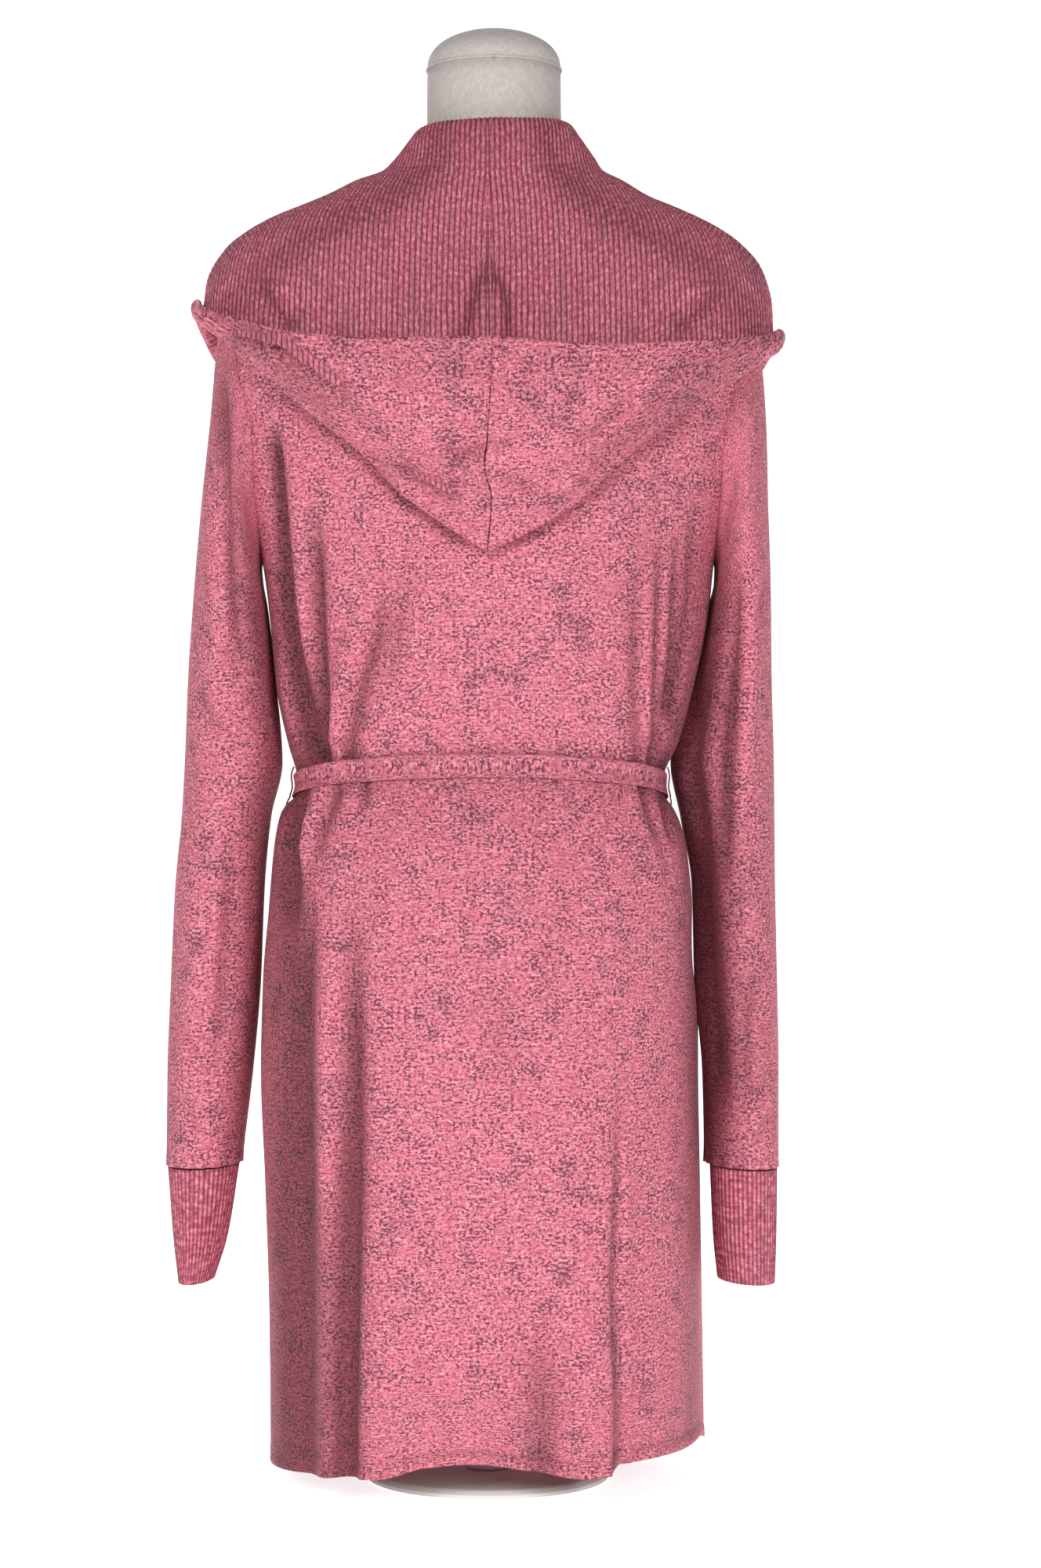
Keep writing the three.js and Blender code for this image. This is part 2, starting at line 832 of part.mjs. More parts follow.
function formCap() {
  const [, side, deep] = FORM_RINGS[FORM_RINGS.length - 1];
  const low = NECK_TOP + 0.5;
  const rings = [0, 0.45, 0.7, 0.86, 0.96, 1].map((share) => {
    const shrink = Math.max(Math.sqrt(1 - share ** 2.4), 0.12);
    return Array.from({ length: 32 }, (_, i) => {
      const turn = (2 * Math.PI * i) / 32;
      const x = NECK_SHIFT + side * shrink * Math.sin(turn);
      const y = deep * shrink * Math.cos(turn);
      return new THREE.Vector3(x, y, low + (CAP_TOP - low) * share);
    });
  });
  return loft(rings);
}

function lathe(profile) {
  const points = profile.map(([r, z]) => new THREE.Vector2(r, z));
  const geometry = new THREE.LatheGeometry(points, 40);
  geometry.rotateX(Math.PI / 2);
  return geometry;
}

function formPole() {
  const low = BASE_HEIGHT + SEAM_GAP;
  const high = FORM_BOTTOM - SEAM_GAP;
  return lathe([
    [0, low],
    [POLE_RADIUS, low],
    [POLE_RADIUS, high],
    [0, high],
  ]);
}

function formBase() {
  return lathe([
    [0, 0],
    [BASE_RADIUS, 0],
    [BASE_RADIUS, 0.5 * BASE_HEIGHT],
    [BASE_RADIUS - 5, BASE_HEIGHT],
    [0, BASE_HEIGHT],
  ]);
}

// ---- The object ------------------------------------------------------------------------------------

const jersey = () => new THREE.MeshStandardMaterial({ color: 0xc97a8a, roughness: 0.85, metalness: 0 });
const rib = () => new THREE.MeshStandardMaterial({ color: 0xa8606f, roughness: 0.88, metalness: 0 });
const thread = () => new THREE.MeshStandardMaterial({ color: 0x7d3548, roughness: 0.8, metalness: 0 });
const linen = () => new THREE.MeshStandardMaterial({ color: 0xd3c8c0, roughness: 0.9, metalness: 0 });
const paint = () => new THREE.MeshStandardMaterial({ color: 0xe9e7e3, roughness: 0.45, metalness: 0 });

const cardigan = new THREE.Group();

function add(name, geometry, material) {
  const mesh = new THREE.Mesh(geometry, material);
  mesh.name = name;
  cardigan.add(mesh);
}

add("form_torso", formTorso(), linen());
add("form_cap", formCap(), linen());
add("form_pole", formPole(), paint());
add("form_base", formBase(), paint());

add("back_panel", backPanel(), jersey());
for (const [name, side] of [["left", 1], ["right", -1]]) {
  add(`front_${name}`, frontPanel(side), jersey());
  add(`sleeve_${name}`, sleeve(name, side), jersey());
  add(`cuff_${name}`, cuff(name, side), rib());
  add(`hood_shell_${name}`, hoodLayer(name, side, 1), jersey());
  add(`hood_lining_${name}`, hoodLayer(name, side, -1), rib());
  add(`belt_tail_${name}`, beltTail(side), jersey());
  add(`belt_loop_${name}`, beltLoop(side), thread());
}
add("belt_band", beltBand(), jersey());
add("belt_knot", beltKnot(), jersey());

export default cardigan;
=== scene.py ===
"""A hooded, open-front knitted cardigan tied with its own belt, on a limbless dress form.

The looks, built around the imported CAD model. Lengths are in millimetres until a mesh is made. The wearer
faces -Y, so the back of the cardigan faces +Y and the wearer's left is +X. Like the CAD model, each cloth
piece is laid on one body surface, body_point(angle, level, out): the angle runs round the body in degrees
from the centre back, positive towards +X, the level is a height and out is the distance off the surface.

The sizes repeat the CAD model's, but for four that close slits of light between the body, the right sleeve
and the belt: the right half widths from 525 to 604, the right sleeve's inner edge, where the side strip of
fold_out ends, and how far the belt loops stand out.
"""

import math

import bpy
import numpy as np
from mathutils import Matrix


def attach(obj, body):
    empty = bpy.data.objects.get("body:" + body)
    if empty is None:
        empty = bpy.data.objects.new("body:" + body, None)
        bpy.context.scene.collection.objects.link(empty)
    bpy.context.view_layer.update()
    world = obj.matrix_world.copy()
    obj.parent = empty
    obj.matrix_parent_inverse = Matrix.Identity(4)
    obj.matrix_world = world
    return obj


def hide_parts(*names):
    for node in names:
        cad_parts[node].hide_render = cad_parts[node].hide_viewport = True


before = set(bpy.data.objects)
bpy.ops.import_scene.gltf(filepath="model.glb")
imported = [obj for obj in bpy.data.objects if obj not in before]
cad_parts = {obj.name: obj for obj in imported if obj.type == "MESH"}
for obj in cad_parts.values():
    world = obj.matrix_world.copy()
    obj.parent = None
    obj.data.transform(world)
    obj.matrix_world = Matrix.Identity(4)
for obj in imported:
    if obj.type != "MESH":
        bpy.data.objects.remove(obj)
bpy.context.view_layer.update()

MM = 0.001

# ---- Sizes that repeat the CAD model's ----

CLOTH = 1.2
RIB_CLOTH = 1.6
SEAM_GAP = 0.4
LAYER_GAP = 0.75  # half the space between the hood's shell and its lining
ROUNDNESS = 2.25

BELT_LEVEL = 497
BELT_WIDTH = 17
BELT_THICKNESS = 2.2
BELT_DIP = 14.5
BELT_REACH = 70
BELT_OUT = 2.6
BELT_FRONT_OUT = 4
KNOT_ANGLE = 172
TAIL_DROP = 19
TAIL_LENGTH = 255
TAIL_SPREAD = 6
TAIL_OUT = 8

UNDERARM = 640
SHOULDER = 843
ARMHOLE_BACK = 52
ARMHOLE_FRONT = 48

NECK_BACK_LEVEL = 894
NECK_SIDE_LEVEL = 900
OVERLAP_OUT = 3.6

NECK_TOP = 985
CAP_TOP = 1013
NECK_SHIFT = -4.5
FORM_BOTTOM = 190
POLE_RADIUS = 12.5
BASE_RADIUS = 85
BASE_HEIGHT = 6

# Half widths of the worn cardigan at each level: left (+X), right (-X), back (+Y), front (-Y)
BODY_RINGS = [
    (10, 151, 145, 128, 118),
    (110, 152, 144, 127, 117),
    (205, 155, 143, 126, 116),
    (285, 158, 142, 125, 114),
    (350, 156.5, 142, 124, 112),
    (400, 152.5, 142.5, 121, 110),
    (436, 150, 140, 115, 107),
    (461, 147.5, 136.5, 107, 103),
    (480, 143, 130, 98, 97),
    (BELT_LEVEL - 8.5, 134.5, 124, 94.5, 94),
    (BELT_LEVEL, 132, 122, 93, 92),
    (BELT_LEVEL + 8.5, 133, 123, 93.5, 92.5),
    (525, 139, 132.5, 96, 96),
    (557, 147, 143, 100, 104),
    (604, 152, 154, 104, 117),
    (UNDERARM, 157, 158, 107, 124),
    (690, 171, 171, 109.5, 124),
    (735, 179, 180, 109.5, 114),
    (770, 187, 188, 106.5, 103),
    (805, 188, 188, 98, 92),
    (830, 185.5, 184.5, 88, 82),
    (SHOULDER, 180, 178.5, 81.5, 76),
    (855, 168, 165, 76, 71),
    (868, 145, 142, 71, 66),
    (879, 117, 115, 66, 62),
    (892, 88, 88, 60, 58),
    (NECK_SIDE_LEVEL, 66, 71, 57, 56),
    (920, 52, 59.5, 56, 56),
    (945, 47, 55, 56, 56),
]

# Half widths of the dress form: side, back, front
FORM_RINGS = [
    (FORM_BOTTOM, 104, 80, 76),
    (FORM_BOTTOM + 4, 118, 91, 87),
    (FORM_BOTTOM + 16, 127, 98, 93),
    (250, 132, 104, 98),
    (300, 135, 110, 100),
    (350, 136, 113, 101),
    (400, 134, 109, 99),
    (450, 124, 96, 91),
    (500, 113, 84, 82),
    (550, 119, 87, 90),
    (604, 128, 94, 108),
    (640, 134, 98, 115),
    (690, 146, 102, 114),
    (735, 158, 102, 104),
    (770, 166, 98, 94),
    (805, 171, 90, 84),
    (830, 171, 80, 74),
    (840, 168, 75, 70),
    (850, 161, 71, 66),
    (862, 143, 66, 62),
    (873, 117, 61, 58),
    (886, 87, 55, 53),
    (895, 64, 52, 51),
    (906, 52, 50.5, 50.5),
    (925, 47.5, 50, 50),
    (NECK_TOP, 46.8, 49.5, 49.5),
]

# Where the left front's free edge lies at each level, as an angle; past 180 it has crossed the centre
FRONT_EDGE = [
    (10, 200), (400, 198.8), (470, 198.4), (500, 194), (560, 181), (590, 177.9), (640, 173), (690, 170),
    (735, 168.1), (770, 166.9), (805, 165.2), (843, 162.9), (855, 161.3), (868, 157.5), (879, 151),
    (892, 138.9), (NECK_SIDE_LEVEL, 119.7),
]

# Height of the hem round the body, by angle
HEM_LEVEL = [
    (-200, 20), (-110, 19), (-85, 29), (-36, 28), (-31, 22.5), (-24, 22), (-12, 25.5), (3, 30), (15, 28),
    (24, 22), (32, 20.5), (55, 16.5), (90, 15), (200, 20),
]

# How far the skirt's folds stand out at the hem, by angle
HEM_FOLDS = [
    (-200, 4), (-180, -4), (-160, 5), (-140, -5), (-115, 4), (-90, 0), (-60, -3), (-38, -6), (-31, 5),
    (-24, 4), (-12, -8), (3, -18), (15, -9), (26, 6), (31, 7), (36, 0), (42, 4), (50, -3), (62, 1), (90, 0),
    (120, 4), (140, -5), (160, 5), (180, -4), (200, 4),
]

# Hood, by its place from the centre back (0) over the shoulder (90) to the end of the front neckline (172)
HOOD_NECK_LEVEL = [
    (90, NECK_SIDE_LEVEL), (105, NECK_SIDE_LEVEL), (120, 879), (135, 855), (150, 805), (165, 735),
    (172, 690),
]
HOOD_STAND = {
    "left": [(0, 46), (45, 42), (90, 31), (105, 21), (114, 11), (127, 8), (172, 6)],
    "right": [(0, 46), (45, 45), (90, 39), (105, 26), (114, 12), (127, 8), (172, 6)],
}
HOOD_RIM_ANGLE = [(0, 0), (90, 90), (105, 101), (120, 113), (135, 127), (150, 142), (165, 157), (172, 165)]
HOOD_RIM = {
    "left": [
        (0, 775), (16, 775), (33, 781), (50, 796), (68, 810), (90, 822), (105, 811), (120, 789), (135, 762),
        (150, 728), (165, 694), (172, 674),
    ],
    "right": [
        (0, 775), (18, 772), (34, 776), (50, 783), (64, 791), (90, 803), (105, 797), (120, 780), (135, 756),
        (150, 725), (165, 693), (172, 674),
    ],
}
HOOD_FOOT = {
    "left": [
        (0, 643), (9, 663), (15, 678), (23, 705), (36, 738), (46, 762), (69, 799), (90, 811), (105, 800),
        (120, 779), (135, 753), (150, 720), (165, 687), (172, 668),
    ],
    "right": [
        (0, 643), (8, 657), (16, 673), (26, 703), (37, 731), (47, 752), (74, 783), (90, 792), (105, 787),
        (120, 770), (135, 747), (150, 717), (165, 686), (172, 668),
    ],
}
HOOD_RIM_OUT = [(0, 34), (30, 32), (50, 24), (70, 16), (90, 15), (172, 12)]
HOOD_LIE_OUT = {
    "left": [(0, 6), (40, 8.5), (60, 11), (72, 12), (90, 9.5), (105, 9.5), (115, 11), (140, 7.5), (172, 7)],
    "right": [(0, 6), (40, 8.5), (60, 11), (72, 12), (90, 9.5), (105, 9), (115, 10), (140, 7.5), (172, 7)],
}
HOOD_BRIDGE = {
    "left": [(40, 0), (60, 2), (75, 3.5), (105, 4), (125, 2), (140, 0)],
    "right": [(40, 0), (60, 4), (75, 6), (105, 6), (125, 3), (140, 0)],
}
BRIDGE_END = 0.35

# Sleeves and cuffs: inner edge x and z, outer edge x and z, half depth, y of the middle
SLEEVE_STATIONS = {
    "left": [
        (159, 634, 188, 800, 55, 0),
        (158, 624, 194, 735, 57, 0),
        (155.5, 611, 200, 680, 57, -2),
        (152.5, 588, 205, 625, 56, -4),
        (149.5, 557, 209.6, 562, 55, -6),
        (145, 500, 212.3, 500, 53, -8),
        (153, 462, 214.5, 462, 52, -9),
        (157.5, 415, 219, 415, 50, -10),
        (160.5, 345, 222.5, 345, 48, -12),
        (166, 284, 225, 284, 45, -14),
        (174, 219, 226, 217, 39, -16),
    ],
    "right": [
        (160, 634, 189.5, 798, 55, 0),
        (159.5, 624, 194.5, 735, 57, 0),
        (156.5, 611, 196, 680, 57, -2),
        (152.5, 588, 198, 625, 56, -4),
        (144.9, 557, 199, 560, 55, -7),
        (129.5, 500, 201, 498, 53, -11),
        (136.5, 462, 201.5, 462, 52, -13),
        (144.5, 415, 202, 415, 50, -14),
        (146.5, 345, 203.5, 345, 48, -14),
        (152, 284, 204.5, 284, 45, -14),
        (153.5, 219, 204.5, 216, 39, -14),
    ],
}
CUFF_STATIONS = {
    "left": [
        (176, 217.6, 224.8, 215.6, 37, -16),
        (184.5, 166, 221, 165, 32, -17),
        (193.5, 137, 217.5, 134, 31, -18),
    ],
    "right": [
        (157.5, 217.6, 203.5, 214.6, 37, -14),
        (160, 166, 203, 165, 32, -15),
        (163, 137, 202, 134, 31, -16),
    ],
}

# ---- Curves through tables ----


def slopes(places, values):
    """The slopes of a smooth curve with no overshoot through these values, which may have more columns."""
    run = np.diff(places).reshape([-1] + [1] * (values.ndim - 1))
    rate = np.diff(values, axis=0) / run
    inner_run, outer_run = 2 * run[1:] + run[:-1], run[1:] + 2 * run[:-1]
    same_way = rate[:-1] * rate[1:] > 0
    safe = [np.where(same_way, r, 1.0) for r in (rate[:-1], rate[1:])]
    middle = (inner_run + outer_run) / (inner_run / safe[0] + outer_run / safe[1])
    return np.concatenate([rate[:1], np.where(same_way, middle, 0.0), rate[-1:]])


def smooth_through(places, values, wanted):
    """Values at the wanted places on that curve. Past its ends it stays level."""
    places, values = np.asarray(places, float), np.asarray(values, float)
    wanted = np.clip(np.asarray(wanted, float), places[0], places[-1])
    slope = slopes(places, values)
    i = np.clip(np.searchsorted(places, wanted, side="right") - 1, 0, len(places) - 2)
    h = places[i + 1] - places[i]
    t = (wanted - places[i]) / h
    shape = list(t.shape) + [1] * (values.ndim - 1)
    t, h = t.reshape(shape), h.reshape(shape)
    t2, t3 = t * t, t * t * t
    start, end = values[i], values[i + 1]
    bends = (t3 - 2 * t2 + t) * h * slope[i] + (t3 - t2) * h * slope[i + 1]
    return (2 * t3 - 3 * t2 + 1) * start + (3 * t2 - 2 * t3) * end + bends


def smooth_steps(lists, count):
    """Each list of values as so many steps along a smooth curve through them."""
    places = [np.arange(len(values)) for values in lists]
    return [smooth_through(p, values, np.linspace(0, p[-1], count)) for p, values in zip(places, lists)]


def curve(table, place, column=1):
    """A table's column at some place: rows are (place, value, value, ...)."""
    rows = np.asarray(table, float)
    return smooth_through(rows[:, 0], rows[:, column], place)


def bell(x, middle, width):
    return np.exp(-(((x - middle) / width) ** 2))


def smoothstep(x, low, high):
    t = np.clip((x - low) / (high - low), 0, 1)
    return t * t * (3 - 2 * t)


def wrapped(angle):
    return (np.asarray(angle, float) + 180) % 360 - 180


# ---- The body surface ----


SKIRT_FOLDS_TOP = 400


def fold_out(angle, level):
    """The skirt's folds, which grow towards the hem, and the bodice's, gathered by the belt."""
    skirt = np.maximum(0, 1 - level / SKIRT_FOLDS_TOP) ** 1.2 * curve(HEM_FOLDS, angle)
    strip = 12 * bell(angle, -112, 20) * (1 - smoothstep(level, 320, 385))
    gather = np.where(level > BELT_LEVEL, bell(level, 548, 34), 0.6 * bell(level, 450, 22))
    clear = 1 - bell(level, BELT_LEVEL, 16)
    lean = 47 - 0.17 * (level - 510)
    pleats = (
        3.5 * bell(angle, lean, 6)
        - 4.5 * bell(angle, 58, 6)
        + 3.5 * bell(angle, 70, 5)
        + 3 * bell(angle, -50, 5)
        - 3 * bell(angle, -58, 4)
        + 3.5 * bell(angle, -66, 5)
        + 3 * np.cos(np.radians(8 * angle)) * bell(np.abs(angle), 145, 28)
    )
    return skirt + strip + gather * clear * pleats


def ring_point(angle, level):
    a = np.radians(angle)
    across, along = np.sin(a), np.cos(a)
    side = np.where(across >= 0, curve(BODY_RINGS, level, 1), curve(BODY_RINGS, level, 2))
    deep = np.where(along >= 0, curve(BODY_RINGS, level, 3), curve(BODY_RINGS, level, 4))
    power = 2 / ROUNDNESS
    dip = BELT_DIP * (1 - along) * bell(level, BELT_LEVEL, BELT_REACH)
    x = side * np.sign(across) * np.abs(across) ** power
    y = deep * np.sign(along) * np.abs(along) ** power
    return np.stack([x, y, level - dip], -1)


def unit(vectors):
    return vectors / np.maximum(np.linalg.norm(vectors, axis=-1, keepdims=True), 1e-12)


def body_point(angle, level, out=0.0):
    angle, level, out = np.broadcast_arrays(wrapped(angle), np.asarray(level, float), out)
    step = 0.5
    up = ring_point(angle, level + step) - ring_point(angle, level - step)
    around = ring_point(angle + step, level) - ring_point(angle - step, level)
    off = (out + fold_out(angle, level))[..., None]
    return ring_point(angle, level) + unit(np.cross(up, around)) * off


# ---- Creases ----


def route_near(x, z, route):
    """Signed distance from each point to a route of (x, z) points, and how far along it that is, 0 to 1."""
    route = np.asarray(route, float)
    lengths = np.linalg.norm(np.diff(route, axis=0), axis=1)
    start = np.concatenate([[0], np.cumsum(lengths)])
    best = np.full(x.shape, np.inf)
    side, along = np.zeros(x.shape), np.zeros(x.shape)
    for k, (a, b) in enumerate(zip(route[:-1], route[1:])):
        d = (b - a) / lengths[k]
        run = np.clip((x - a[0]) * d[0] + (z - a[1]) * d[1], 0, lengths[k])
        px, pz = x - a[0] - run * d[0], z - a[1] - run * d[1]
        gap = np.hypot(px, pz)
        closer = gap < best
        best = np.where(closer, gap, best)
        side = np.where(closer, np.sign(px * d[1] - pz * d[0]), side)
        along = np.where(closer, (start[k] + run) / start[-1], along)
    return best * side, along


def crease(x, z, height, route, widths, fades):
    """A soft ridge of that height along a route, or a trough if it is negative. widths are how far it
    spreads on each side, and fades are the shares of the route over which each end dies away."""
    gap, along = route_near(x, z, route)
    spread = np.where(gap >= 0, *widths)
    ends = smoothstep(along, 0, fades[0]) if fades[0] else 1.0
    ends = ends * (smoothstep(1 - along, 0, fades[1]) if fades[1] else 1.0)
    return height * bell(gap, 0, spread) * ends


def crease_out(points, creases, share=1.0):
    """How far these creases, which are placed as seen from behind, stand out at each point."""
    x, z = points[..., 0], points[..., 2]
    return share * sum(crease(x, z, *c) for c in creases)


# Every crease in the lists below is (height, route down the cloth as (x, z), widths, fades). The lists named
# SHADES are given in the same way, but they only darken the cloth, where a worn one is in its own shade.
BACK_SHADES = [
    (-4, [(146, 700), (138, 600), (127, 500), (138, 440), (142, 300), (142, 10)], (18, 18), (0.2, 0)),
    (-3.2, [(104, 330), (106, 180), (108, 10)], (26, 26), (0.4, 0)),
    (-3, [(-146, 720), (-140, 600), (-122, 500), (-138, 420), (-142, 250), (-142, 10)], (9, 9), (0.2, 0)),
    (-1.5, [(-30, 150), (-34, 10)], (26, 26), (0.6, 0)),
    (-1.6, [(80, 740), (20, 690), (0, 640)], (30, 30), (0.3, 0.3)),
    (-1.2, [(-110, 700), (-108, 600), (-110, 500)], (18, 18), (0.3, 0)),
]
SLEEVE_SHADES = {
    "left": [
        (-3.5, [(160, 640), (150, 560), (146, 500), (154, 460), (160, 345), (172, 225)], (12, 12), (0.1, 0)),
        (-1, [(178, 780), (168, 640), (166, 540)], (12, 12), (0.2, 0.4)),
        (-1.6, [(222, 420), (226, 220)], (9, 9), (0.4, 0)),
    ],
    "right": [
        (
            -6,
            [(-162, 650), (-148, 560), (-134, 500), (-144, 440), (-150, 345), (-160, 225)],
            (15, 15),
            (0.1, 0),
        ),
        (-4, [(-170, 600), (-164, 500), (-164, 400), (-168, 225)], (14, 14), (0.2, 0.2)),
    ],
}
SHELL_SHADES = {
    "left": [
        (-3, [(178, 796), (150, 780), (110, 745), (60, 700), (6, 652)], (12, 12), (0.02, 0.3)),
        (-1.6, [(40, 700), (2, 690)], (26, 26), (0.4, 0)),
    ],
    "right": [(-2.2, [(-180, 780), (-140, 752), (-90, 714), (-50, 684), (-6, 652)], (11, 11), (0.02, 0.3))],
}
LINING_SHADES = {
    "left": [
        (-3, [(30, 945), (34, 910), (70, 880), (130, 850), (170, 815)], (14, 14), (0, 0)),
        (-2, [(170, 800), (120, 786), (60, 780), (0, 778)], (7, 7), (0.1, 0)),
        (-2.6, [(0, 950), (0, 880)], (34, 34), (0, 0.8)),
    ],
    "right": [
        (-3, [(-36, 945), (-44, 910), (-80, 872), (-140, 842), (-178, 805)], (14, 14), (0, 0)),
        (-2, [(-170, 780), (-120, 776), (-60, 774), (0, 778)], (7, 7), (0.1, 0)),
        (-2.6, [(0, 950), (0, 880)], (34, 34), (0, 0.8)),
    ],
}


# ---- Meshes ----


def grid_normals(grid, wrap=False):
    """Outward normals of a grid whose rows go up and whose columns go round towards +X behind."""
    up = np.gradient(grid, axis=0)
    if wrap:
        around = np.roll(grid, -1, axis=1) - np.roll(grid, 1, axis=1)
    else:
        around = np.gradient(grid, axis=1)
    return unit(np.cross(up, around))


def distances(grid, axis, start=0):
    """How far each point is along its row or column, from the start index."""
    steps = np.linalg.norm(np.diff(grid, axis=axis), axis=-1)
    zero_shape = list(steps.shape)
    zero_shape[axis] = 1
    total = np.concatenate([np.zeros(zero_shape), np.cumsum(steps, axis=axis)], axis=axis)
    return total - np.take(total, [start], axis=axis)


def closed_rows(grid):
    """The grid with its first column repeated after the last one."""
    return np.concatenate([grid, grid[:, :1]], axis=1)


def new_object(name, points, faces, materials, uv=None, flat_from=None, depth=None):
    """A mesh object from points in millimetres and quads or triangles. uv has a row for each face corner.
    depth, for each point, is how deep in a fold it lies; the materials paint shade by it."""
    mesh = bpy.data.meshes.new(name)
    faces = np.asarray(faces, np.int32)
    count, corners = faces.shape
    mesh.vertices.add(len(points))
    mesh.vertices.foreach_set("co", (np.asarray(points, float) * MM).astype(np.float32).ravel())
    mesh.loops.add(count * corners)
    mesh.loops.foreach_set("vertex_index", faces.ravel())
    mesh.polygons.add(count)
    mesh.polygons.foreach_set("loop_start", np.arange(0, count * corners, corners, dtype=np.int32))
    mesh.polygons.foreach_set("loop_total", np.full(count, corners, np.int32))
    smooth = np.ones(count, bool)
    if flat_from is not None:
        smooth[flat_from:] = False
    mesh.polygons.foreach_set("use_smooth", smooth)
    if uv is not None:
        layer = mesh.uv_layers.new(name="Grain")
        layer.data.foreach_set("uv", (np.asarray(uv, float) * MM).astype(np.float32).ravel())
    if depth is not None:
        folds = mesh.attributes.new("Depth", "FLOAT", "POINT")
        folds.data.foreach_set("value", np.asarray(depth, np.float32).ravel())
    mesh.update()
    mesh.validate()
    for material in materials:
        mesh.materials.append(material)
    made = bpy.data.objects.new(name, mesh)
    bpy.context.scene.collection.objects.link(made)
    return made


def signed_volume(points, faces):
    a, b, c = (points[faces[:, k]] for k in range(3))
    volume = np.einsum("ij,ij->", a, np.cross(b, c))
    if faces.shape[1] == 4:
        volume += np.einsum("ij,ij->", a, np.cross(c, points[faces[:, 3]]))
    return volume


# Troughs get painted shade, darker the deeper they are, down to this depth.
SHADE_FULL_DEPTH = 7.0  # a trough this deep is as dark as any


def wall(name, grid, low, high, material, wrap=False, uv=None, out=None):
    """A closed wall of cloth from low to high along the grid's normals, either of which may vary.
    uv is (u, v) for each point, in millimetres along the courses and the wales, with a column more if wrap.
    out is how far creases stand out at each point; their troughs get painted shade, darker the deeper they
    are."""
    rows, cols = grid.shape[:2]
    normals = grid_normals(grid, wrap)
    sides = [np.broadcast_to(np.asarray(move, float), (rows, cols))[..., None] for move in (low, high)]
    points = np.concatenate([(grid + normals * move).reshape(-1, 3) for move in sides])
    # The painted fold shade of each point, from how deep its trough is.
    depth = None if out is None else np.tile(np.clip(-out / SHADE_FULL_DEPTH, 0, 1).ravel(), 2)
    spans = cols if wrap else cols - 1
    if uv is None:
        whole = closed_rows(grid) if wrap else grid
        uv = np.stack([distances(whole, 1, spans // 2), distances(whole, 0)], -1)
    i, j = (k.ravel() for k in np.meshgrid(np.arange(rows - 1), np.arange(spans), indexing="ij"))
    across, along = np.arange(spans), np.arange(rows - 1)

    def corners(*places):
        """Face corners from (side, row, column) places, as vertex indices and their uv."""
        index = np.stack([s * rows * cols + a * cols + b % cols for s, a, b in places], -1)
        where = np.stack([uv[a, b] for _, a, b in places], 1)
        return index, where

    parts = [
        corners((1, i, j), (1, i + 1, j), (1, i + 1, j + 1), (1, i, j + 1)),
        corners((0, i, j), (0, i, j + 1), (0, i + 1, j + 1), (0, i + 1, j)),
    ]
    surface = 2 * len(i)
    top, zero = np.full(spans, rows - 1), np.zeros(spans, int)
    parts.append(corners((0, zero, across), (1, zero, across), (1, zero, across + 1), (0, zero, across + 1)))
    parts.append(corners((0, top, across), (0, top, across + 1), (1, top, across + 1), (1, top, across)))
    if not wrap:
        first, last = np.zeros(rows - 1, int), np.full(rows - 1, cols - 1)
        low_edge = (0, along, first), (0, along + 1, first), (1, along + 1, first), (1, along, first)
        high_edge = (0, along, last), (1, along, last), (1, along + 1, last), (0, along + 1, last)
        parts += [corners(*low_edge), corners(*high_edge)]
    faces = np.concatenate([p[0] for p in parts])
    where = np.concatenate([p[1] for p in parts])
    if signed_volume(points, faces) < 0:
        faces, where = faces[:, ::-1], where[:, ::-1]
    return new_object(name, points, faces, [material], where.reshape(-1, 2), surface, depth)


def tube(name, path, radii, sides, material):
    """A round cord along a path of points, with a radius for each point and rounded, closed ends."""
    path = np.asarray(path, float)
    along = unit(np.gradient(path, axis=0))
    across = [unit(np.cross(along[0], (0.3, 0.2, 1.0)))]
    for direction in along[1:]:
        across.append(unit(across[-1] - direction * np.dot(across[-1], direction)))
    across = np.array(across)
    other = np.cross(along, across)
    turn = np.linspace(0, 2 * np.pi, sides, endpoint=False)
    ring = across[:, None] * np.cos(turn)[None, :, None] + other[:, None] * np.sin(turn)[None, :, None]
    grid = path[:, None] + ring * np.asarray(radii, float)[:, None, None]
    return capped(name, grid, material)


def capped(name, grid, material, uv=None):
    """A closed body from a grid of rings, with each end drawn in to its middle."""
    rows, cols = grid.shape[:2]
    ends = [grid[0].mean(axis=0), grid[-1].mean(axis=0)]
    points = np.concatenate([grid.reshape(-1, 3), ends])
    i, j = (k.ravel() for k in np.meshgrid(np.arange(rows - 1), np.arange(cols), indexing="ij"))
    k = (j + 1) % cols
    sides = np.stack([i * cols + j, i * cols + k, (i + 1) * cols + k, (i + 1) * cols + j], -1)
    if uv is None:
        whole = closed_rows(grid)
        uv = np.stack([distances(whole, 1), distances(whole, 0)], -1)
    where = np.stack([uv[i, j], uv[i, j + 1], uv[i + 1, j + 1], uv[i + 1, j]], 1)
    around = np.arange(cols)
    low = np.stack([around, (around + 1) % cols, np.full(cols, rows * cols)], -1)
    high = (rows - 1) * cols + low
    high[:, 2] = rows * cols + 1
    triangles = np.concatenate([sides[:, [0, 1, 2]], sides[:, [0, 2, 3]], low[:, ::-1], high])
    flat = np.stack([uv[0, around], uv[0, around + 1], uv[0, around]], 1)
    corners = np.concatenate([where[:, [0, 1, 2]], where[:, [0, 2, 3]], flat, flat])
    if signed_volume(points, triangles) < 0:
        triangles, corners = triangles[:, ::-1], corners[:, ::-1]
    return new_object(name, points, triangles, [material], corners.reshape(-1, 2))


# ---- Materials ----


